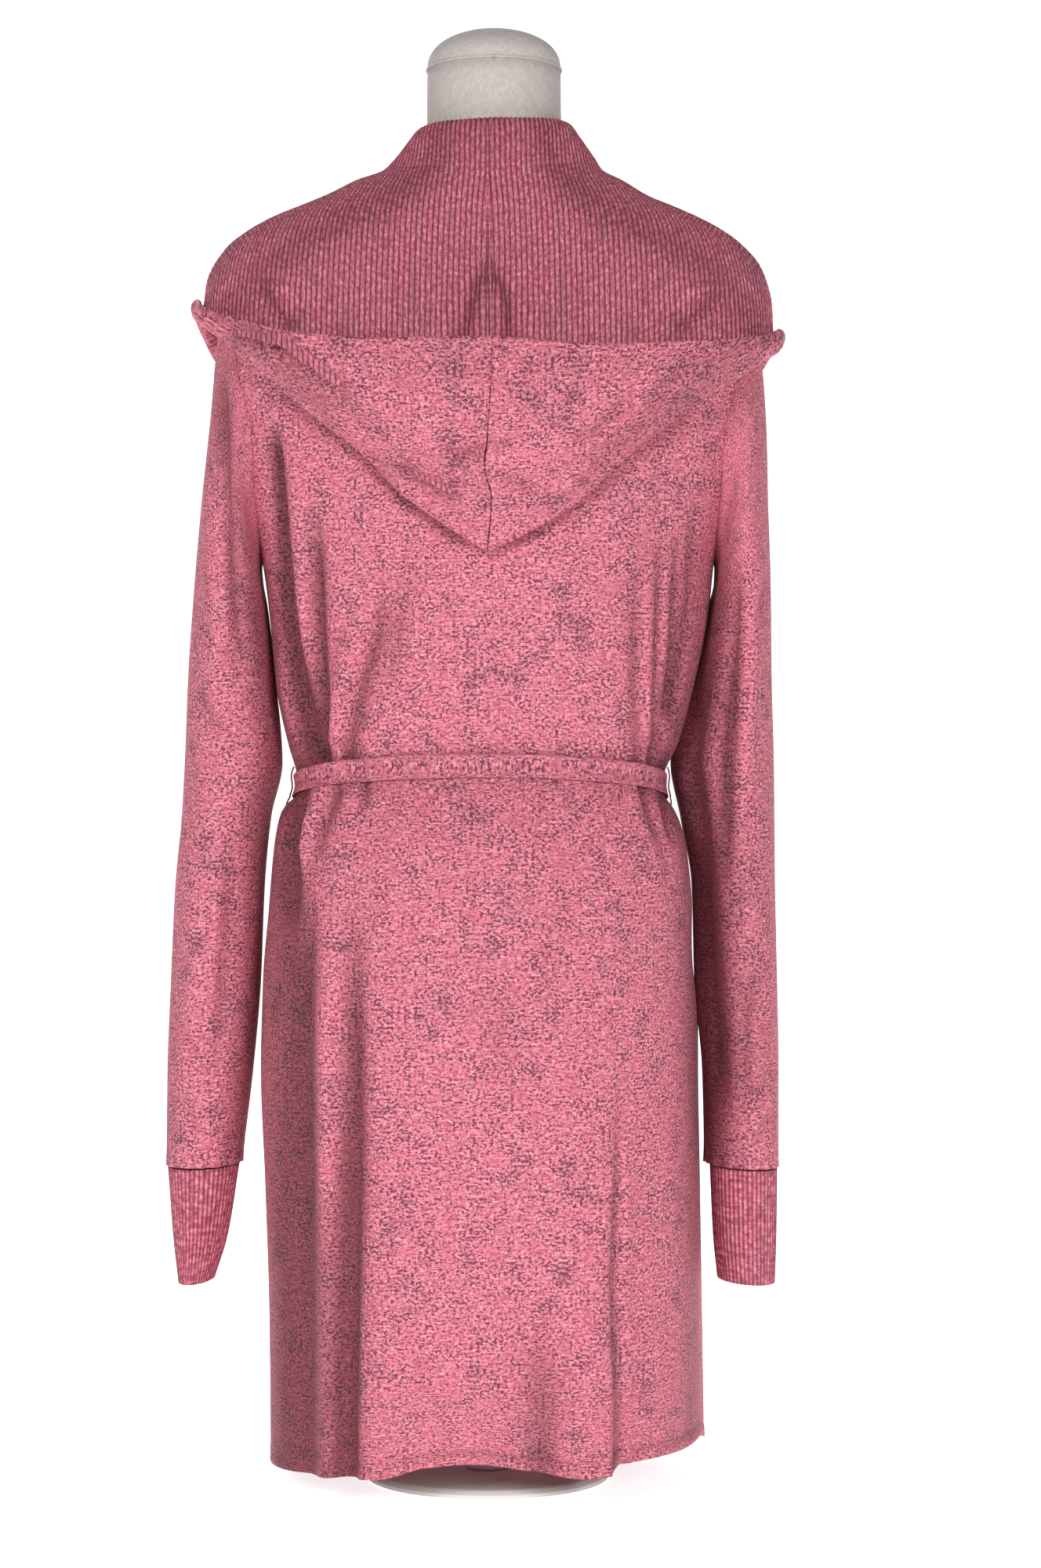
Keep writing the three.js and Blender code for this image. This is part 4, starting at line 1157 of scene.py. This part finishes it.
def even_places(name, side, spacing_back, spacing_front):
    """Places along the rim at nearly equal distances behind the shoulder, and wider ones in front."""
    place = np.linspace(0, 172, 500)
    rim = body_point(side * curve(HOOD_RIM_ANGLE, place), curve(HOOD_RIM[name], place), 12)
    gap = np.linalg.norm(np.diff(rim, axis=0), axis=1)
    spacing = spacing_back + (spacing_front - spacing_back) * smoothstep(place[1:], 92, 115)
    count = np.concatenate([[0], np.cumsum(gap / spacing)])
    columns = int(round(count[-1]))
    return np.interp(np.linspace(0, count[-1], columns + 1), count, place)


# How the hood's centre seam sways sideways, by height
SEAM_WAVE = [(643, 0.0), (675, -2.6), (695, 2.1), (705, 1.0), (780, -3.1), (900, -2.0), (960, -3.5)]
# Rows in each stretch between the hood's control points
LINING_ROWS = [4, 4, 2, 3] + [8, 8, 8, 8, 8, 8, 7, 6, 6, 5] + [3, 3, 4, 5]
SHELL_ROWS = [3, 3, 2, 3] + [3] * 10 + [4, 4, 16, 20]


HALVES_APART = 0.12  # each half of the hood from the centre seam


def hood_grid(name, side, spacing_back, spacing_front, rows_each):
    place = even_places(name, side, spacing_back, spacing_front)
    grid, marks = along_lines(hood_lines(place, name, side), rows_each)
    sway = curve(SEAM_WAVE, grid[..., 2]) * bell(grid[..., 0], 0, 38) * (grid[..., 1] > 0)
    grid[..., 0] += sway + side * HALVES_APART
    return grid, marks


def outward(grid, side):
    """Normals of a hood grid that point to the shell's side. Rows run down the fall, columns forward."""
    return grid_normals(grid) * side


def rib_place(grid):
    """Which rib each point of the lining is on, in millimetres across the ribs. They hang straight behind
    and lean in towards the neck as they pass over the shoulder."""
    ahead = 62 - grid[..., 1]
    lean = 0.6 * (np.hypot(ahead, 15) + ahead) / 2
    return np.abs(grid[..., 0]) + lean


BAG_SLACK = 1.6  # how much more the loose bag creases than these heights say
SHELL_CREASES = {
    "left": [
        (-2.6, [(36, 706), (18, 703), (2, 704)], (3.5, 3.5), (0.4, 0.1)),
        (-2.6, [(60, 697), (32, 682), (13, 673)], (3, 3), (0.3, 0.3)),
        (1.8, [(64, 688), (40, 674), (20, 662)], (3, 3), (0.3, 0.3)),
        (-3, [(150, 790), (110, 760), (80, 735)], (6, 6), (0.4, 0.4)),
        (-2.4, [(176, 792), (150, 784), (120, 776)], (6, 5), (0.1, 0.5)),
        (2, [(110, 740), (80, 716), (52, 700)], (6, 6), (0.3, 0.4)),
    ],
    "right": [
        (-2.6, [(0, 710), (-12, 711), (-24, 711)], (2.5, 2.5), (0.1, 0.5)),
        (-2.2, [(-4, 690), (-24, 682), (-44, 680)], (3, 3), (0.2, 0.5)),
        (-1.8, [(-100, 752), (-74, 722), (-50, 704)], (5, 5), (0.4, 0.4)),
        (1.8, [(-70, 700), (-48, 684), (-28, 668)], (4, 4), (0.3, 0.4)),
        (-2, [(-150, 778), (-120, 752), (-96, 728)], (6, 6), (0.4, 0.4)),
    ],
}
LINING_CREASES = {
    "left": [
        (-5, [(1, 846), (4, 831), (12, 796), (16, 780), (18, 764)], (4, 5), (0.25, 0.1)),
        (3, [(16, 830), (26, 800), (32, 778)], (5, 7), (0.4, 0.1)),
        (-3.5, [(154, 836), (148, 814), (138, 800), (122, 790)], (4, 4), (0.3, 0.2)),
        (2.5, [(140, 838), (132, 820), (118, 806)], (5, 5), (0.4, 0.3)),
    ],
    "right": [
        (-5, [(-1, 846), (-6, 830), (-13, 810), (-14, 779), (-14, 764)], (5, 4), (0.25, 0.1)),
        (3, [(-22, 820), (-30, 790), (-32, 768)], (7, 5), (0.4, 0.1)),
        (-3.5, [(-162, 822), (-145, 806), (-122, 785)], (5, 5), (0.3, 0.2)),
        (2.5, [(-150, 832), (-128, 812), (-100, 790)], (5, 5), (0.4, 0.3)),
    ],
}


def layer(name, grid, side, near, far, material, uv, out):
    """A wall from near to far on the shell's side of the middle surface, negative on the lining's side."""
    low, high = (near * side, far * side)
    return wall(name, grid, np.minimum(low, high), np.maximum(low, high), material, uv=uv, out=out)


def edge_gap(marks):
    """Half the space between the layers in each row: they meet at the rim and the neckline."""
    from_rim = marks[-1] - marks
    gap = LAYER_GAP * smoothstep(from_rim, 0, 0.5) * smoothstep(marks, 0, 0.6)
    return (0.08 + gap)[:, None]


def fall_share(grid, marks):
    """1 where both layers fall over the back, and 0 on the stand, on the bag's outer side and in front."""
    down = smoothstep(marks, 3, 4) * (1 - smoothstep(marks, FOOT_MARK - 0.5, FOOT_MARK))
    return down[:, None] * smoothstep(grid[..., 1], 0, 20)


def hood_lining(name, side):
    grid, marks = hood_grid(name, side, 1.0, 2.4, LINING_ROWS)
    out = crease_out(grid, LINING_CREASES[name], fall_share(grid, marks))
    grid = grid - outward(grid, side) * out[..., None]
    # Painted shade: the creases' troughs and the lining SHADES.
    out = out + crease_out(grid, LINING_SHADES[name])
    across = rib_place(grid)
    ribs = 0.5 + 0.5 * np.cos(2 * np.pi * across / RIB_PITCH)
    gap = edge_gap(marks)
    far = gap + CLOTH - RIB_DEPTH * (1 - ribs)
    uv = np.stack([across, distances(grid, 0)], -1)
    return layer(f"hood_lining_{name}_rib", grid, side, -gap, -far, RIB, uv, out)


def hood_shell(name, side):
    grid, marks = hood_grid(name, side, 2.2, 3.6, SHELL_ROWS)
    bag = (marks > FOOT_MARK + 1)[:, None]
    out = crease_out(grid, SHELL_CREASES[name], BAG_SLACK * bag)
    pleats = crease_out(grid, LINING_CREASES[name], fall_share(grid, marks))
    grid = grid + outward(grid, side) * (out - pleats)[..., None]
    # Painted shade: the creases' troughs and the shell SHADES.
    out = out + crease_out(grid, SHELL_SHADES[name])
    gap = edge_gap(marks)
    uv = np.stack([grid[..., 0], grid[..., 2] + 0.5 * grid[..., 1]], -1)
    return layer(f"hood_shell_{name}_cloth", grid, side, gap, gap + CLOTH, JERSEY, uv, out)


# ---- Belt ----

BELT_STATIONS = 360
BELT_SIDES = 20
WRINKLES = ((0.9, 7.0, 0.3), (0.6, 17.0, 1.9), (0.35, 41.0, 4.1))  # height, number round the body, start


def belt_wrinkle(angle, across):
    """Small slanting wrinkles of a soft double belt that is pulled tight."""
    slant = np.radians(angle) + 0.25 * across
    return sum(0.4 * h * np.sin(turns * slant + start) for h, turns, start in WRINKLES)


def belt_band():
    angle = np.linspace(-KNOT_ANGLE, KNOT_ANGLE, BELT_STATIONS)[:, None]
    turn = np.linspace(0, 2 * np.pi, BELT_SIDES, endpoint=False)[None, :]
    front = smoothstep(np.abs(angle), 95, 140)
    middle = BELT_OUT + BELT_FRONT_OUT * front
    across = np.sign(np.cos(turn)) * np.abs(np.cos(turn)) ** 0.6
    thick = np.sign(np.sin(turn)) * np.abs(np.sin(turn)) ** 0.7
    level = BELT_LEVEL + (BELT_WIDTH / 2) * across * (1 + 0.05 * belt_wrinkle(angle, across))
    dish = -0.5 * (1 - across**2) + 0.4 * belt_wrinkle(angle, across) * (thick > 0)
    grid = body_point(angle, level, middle + (BELT_THICKNESS / 2) * thick + dish)
    along = distances(grid, 0)[:, :1]
    span = np.linspace(0, 2 * BELT_WIDTH, BELT_SIDES + 1)[None, :]
    uv = np.stack(np.broadcast_arrays(along, span), -1)
    return capped("belt_strap", grid, SHADED_BELT_JERSEY, uv)


KNOT_OUT = 12
KNOT_HALF_WIDTH = 11.5
KNOT_HALF_DEPTH = 7
KNOT_HALF_HEIGHT = 12


def belt_knot():
    """The knot: the strap wound once over the crossing, pulled in at its middle, with creases round it."""
    centre = body_point(180, BELT_LEVEL, KNOT_OUT)
    turn = np.linspace(0, 2 * np.pi, 72, endpoint=False)[None, :]
    across = np.linspace(-1, 1, 40)[:, None]
    bulge = np.sqrt(np.maximum(0.0, 1 - across**4)) * 0.92 + 0.08
    furrow = 0.09 * np.cos(4 * np.pi * across + 1.3 * np.sin(turn)) * (1 - across**2)
    slant = 0.22 * np.sin(turn)
    reach = bulge * (1 + furrow)
    x = KNOT_HALF_WIDTH * (across + slant * (1 - across**2)) * 0.95
    y = KNOT_HALF_DEPTH * reach * np.cos(turn)
    z = KNOT_HALF_HEIGHT * reach * np.sin(turn)
    return capped("belt_tie", np.stack(np.broadcast_arrays(x, y, z), -1) + centre, SHADED_BELT_JERSEY)


def front_angle(x, level):
    side = np.where(x >= 0, curve(BODY_RINGS, level, 1), curve(BODY_RINGS, level, 2))
    return 180 - np.sign(x) * np.degrees(np.arcsin((np.abs(x) / side) ** (ROUNDNESS / 2)))


def belt_tail(name, side):
    share = np.linspace(0, 1, 90)[:, None]
    across = np.linspace(-1, 1, 13)[None, :]
    level = BELT_LEVEL - TAIL_DROP - TAIL_LENGTH * share + 0 * across
    sway = 1.8 * np.sin(2 * np.pi * (1.4 * share + 0.2 * side)) * share
    x = side * (BELT_WIDTH / 2 + 2 + TAIL_SPREAD * share) + across * BELT_WIDTH / 2 + sway
    curl = 0.8 * across * np.sin(2 * np.pi * (1.1 * share + 0.3 * side)) - 0.5 * (1 - across**2)
    grid = body_point(front_angle(x, level), level, TAIL_OUT + curl)
    grid = grid[::-1, ::-1]
    hem = 0.35 * (share[::-1] > 0.965) * np.ones(across.shape)
    return wall(f"belt_end_{name}", grid, -BELT_THICKNESS / 2, BELT_THICKNESS / 2 + hem, SHADED_BELT_JERSEY)


LOOP_ANGLE = 88
# Height over the belt's middle, and distance off the body
LOOP_ROUTE = [(14, 1.3), (11, 3.6), (6, 4.8), (-6, 4.8), (-11, 3.6), (-14, 1.3)]
LOOP_STEPS = 60
THREAD_RADIUS = 0.6


def belt_loop(name, side):
    """A twisted thread loop over the belt at the side seam."""
    rise, out = np.array(LOOP_ROUTE, float).T
    rise, out = smooth_steps([rise, out], LOOP_STEPS)
    path = body_point(side * LOOP_ANGLE, BELT_LEVEL + rise, out)
    twist = THREAD_RADIUS * (1 + 0.12 * np.cos(np.arange(LOOP_STEPS) * 2.1))
    return tube(f"belt_thread_{name}", path, twist, 10, THREAD)


# ---- Dress form and stand ----

FORM_ROWS = 150
FORM_SEAM_X = NECK_SHIFT
FORM_NECK_RADIUS = 47
PIPING_RADIUS = 0.9


def form_angles():
    """Angles round the form, closer together at its centre-back seam."""
    even = np.radians(np.arange(0, 360, 3.0))
    seam = (FORM_SEAM_X + np.array([-2, -1, -0.5, 0, 0.5, 1, 2])) / FORM_NECK_RADIUS
    return np.unique(np.concatenate([even, seam % (2 * np.pi)]))


def form_torso():
    rings = np.asarray(FORM_RINGS, float)
    z = np.interp(np.linspace(0, 1, FORM_ROWS), np.linspace(0, 1, len(rings)), rings[:, 0])[:, None]
    turn = form_angles()[None, :]
    deep = np.where(np.cos(turn) >= 0, curve(FORM_RINGS, z, 2), curve(FORM_RINGS, z, 3))
    shift = NECK_SHIFT * smoothstep(z, 845, 900)
    x, y = shift + curve(FORM_RINGS, z, 1) * np.sin(turn), deep * np.cos(turn)
    groove = 0.7 * bell(x, FORM_SEAM_X, 0.8) * (y > 0)
    z = z + 0 * turn
    return capped("form_cloth", np.stack([x, y - groove, z], -1)[:, ::-1], LINEN)


def form_cap():
    """The padded cap of the neck."""
    _, side, deep, _ = FORM_RINGS[-1]
    low = NECK_TOP + 0.5
    share = 1 - (1 - np.linspace(0, 1, 40)) ** 1.6
    shrink = np.maximum(np.sqrt(1 - share**2.4), 0.02)[:, None]
    turn = np.linspace(0, 2 * np.pi, 120, endpoint=False)[None, :]
    z = low + (CAP_TOP - low) * share[:, None] + 0 * turn
    grid = np.stack([NECK_SHIFT + side * shrink * np.sin(turn), deep * shrink * np.cos(turn), z], -1)
    return capped("form_cap_cloth", grid[:, ::-1], LINEN)


def form_piping():
    """The cord between the neck and its cap."""
    _, side, deep, _ = FORM_RINGS[-1]
    turn = np.linspace(0, 2 * np.pi, 181)
    x, y = NECK_SHIFT + (side + 0.2) * np.sin(turn), (deep + 0.2) * np.cos(turn)
    path = np.stack([x, y, NECK_TOP + 0.2 + 0 * turn], -1)
    return tube("form_piping", path, np.full(len(turn), PIPING_RADIUS), 10, LINEN)


def turned(name, profile, material, sides=96):
    """A body of revolution about Z from (radius, z) points."""
    profile = np.asarray(profile, float)
    turn = np.linspace(0, 2 * np.pi, sides, endpoint=False)[None, :]
    radius, z = profile[:, :1], profile[:, 1:]
    grid = np.stack([radius * np.cos(turn), radius * np.sin(turn), z + 0 * turn], -1)
    return capped(name, grid, material)


def rounded(corners, radius, steps=6):
    """A profile with each inner corner rounded off by an arc-like curve."""
    corners = np.asarray(corners, float)
    made = [corners[0]]
    for before, here, after in zip(corners[:-2], corners[1:-1], corners[2:]):
        to_before, to_after = unit(before - here), unit(after - here)
        cut = min(radius, np.linalg.norm(before - here) / 2, np.linalg.norm(after - here) / 2)
        start, end = here + to_before * cut, here + to_after * cut
        for t in np.linspace(0, 1, steps):
            made.append((1 - t) ** 2 * start + 2 * t * (1 - t) * here + t * t * end)
    return np.array(made + [corners[-1]])


def form_pole():
    low, high = BASE_HEIGHT + SEAM_GAP, FORM_BOTTOM - SEAM_GAP
    collar = POLE_RADIUS + 3
    corners = [(1, low), (collar, low), (collar, low + 9)]
    corners += [(POLE_RADIUS, low + 11), (POLE_RADIUS, high), (1, high)]
    return turned("stand_pole", rounded(corners, 1.5), PAINT)


def form_base():
    corners = [(1, 0), (BASE_RADIUS, 0), (BASE_RADIUS, 3), (BASE_RADIUS - 5, BASE_HEIGHT), (1, BASE_HEIGHT)]
    return turned("stand_base", rounded(corners, 2), PAINT)


# ---- Camera, light and floor ----

CAMERA_AWAY = 2400
CAMERA_HEIGHT = 485
LENS = 78.55
SHIFT = 0.021
LIGHT_AIM = (0, 0, 0.5)
WORLD_STRENGTH = 0.13
FLOOR_GLOW = 0.75
FLOOR_HALF_WIDTH = 7.0
# The floor's section in metres, as y and z: level under the object and swept up behind, as the camera sees it
FLOOR_Y = (1.2, 0, -5.5, -6.3, -6.8, -7, -7)
FLOOR_Z = (0, 0, 0, 0.15, 0.7, 1.5, 6.0)


def camera():
    data = bpy.data.cameras.new("camera")
    data.lens = LENS
    data.shift_x = SHIFT
    data.clip_end = 50
    made = bpy.data.objects.new("camera", data)
    made.location = (0, CAMERA_AWAY * MM, CAMERA_HEIGHT * MM)
    made.rotation_euler = (math.radians(90), 0, math.radians(180))
    bpy.context.scene.collection.objects.link(made)
    bpy.context.scene.camera = made


def area_light(name, place, size, power):
    """A soft light at that place, in metres, aimed at the middle of the cardigan."""
    data = bpy.data.lights.new(name, "AREA")
    data.shape = "RECTANGLE"
    data.size, data.size_y = size
    data.energy = power
    made = bpy.data.objects.new(name, data)
    made.location = place
    direction = np.array(LIGHT_AIM) - place
    yaw = math.atan2(direction[1], direction[0]) - math.pi / 2
    pitch = math.atan2(direction[2], math.hypot(direction[0], direction[1]))
    made.rotation_euler = (math.radians(90) + pitch, 0, yaw)
    bpy.context.scene.collection.objects.link(made)


def studio():
    world = bpy.data.worlds.new("studio")
    world.use_nodes = True
    background = world.node_tree.nodes["Background"]
    background.inputs["Color"].default_value = (1, 1, 1, 1)
    background.inputs["Strength"].default_value = WORLD_STRENGTH
    bpy.context.scene.world = world
    area_light("back_left", (1.2, 2.3, 1.25), (0.7, 0.8), 32)
    area_light("back_right", (-1.0, 2.5, 1.0), (0.8, 0.9), 33)
    area_light("front", (0.4, -2.4, 1.8), (1.2, 1.2), 40)
    bpy.context.scene.view_settings.view_transform = "Standard"


def backdrop():
    """A white floor that sweeps up behind. It glows a little, so that it comes out white."""
    white = Shader("floor_white", 0.9, Emission_Color=(1, 1, 1, 1), Emission_Strength=FLOOR_GLOW)
    coordinates = white.add("ShaderNodeTexCoord").outputs["Object"]
    patch = white.noise(coordinates, (0.9, 0.9), 2)
    white.link(white.mix(patch, (0.93, 0.93, 0.93, 1), (0.95, 0.95, 0.95, 1)), "Base Color")
    depth, height = smooth_steps([FLOOR_Y, FLOOR_Z], 80)
    points = [(x, y, z) for y, z in zip(depth, height) for x in (FLOOR_HALF_WIDTH, -FLOOR_HALF_WIDTH)]
    faces = [(2 * k, 2 * k + 1, 2 * k + 3, 2 * k + 2) for k in range(len(depth) - 1)]
    floor = new_object("floor", np.array(points) / MM, faces, [white.material])


# ---- The object ----


def place(piece, node, slot):
    """The piece takes the CAD node's place on the root body, and the CAD node is hidden. slot is not used."""
    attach(piece, "root")
    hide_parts(node)


camera()
studio()
backdrop()

place(back_panel(), "back_panel", "jersey")
for name, side in (("left", 1), ("right", -1)):
    place(front_panel(name, side), f"front_{name}", "jersey")
    place(sleeve(name, side), f"sleeve_{name}", "jersey")
    place(cuff(name, side), f"cuff_{name}", "rib_knit")
    place(hood_shell(name, side), f"hood_shell_{name}", "jersey")
    place(hood_lining(name, side), f"hood_lining_{name}", "rib_knit")
    place(belt_tail(name, side), f"belt_tail_{name}", "jersey")
    place(belt_loop(name, side), f"belt_loop_{name}", "loop_thread")
place(belt_band(), "belt_band", "jersey")
place(belt_knot(), "belt_knot", "jersey")

place(form_torso(), "form_torso", "form_cover")
place(form_cap(), "form_cap", "form_cover")
piping = form_piping()
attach(piping, "root")
place(form_pole(), "form_pole", "stand_paint")
place(form_base(), "form_base", "stand_paint")
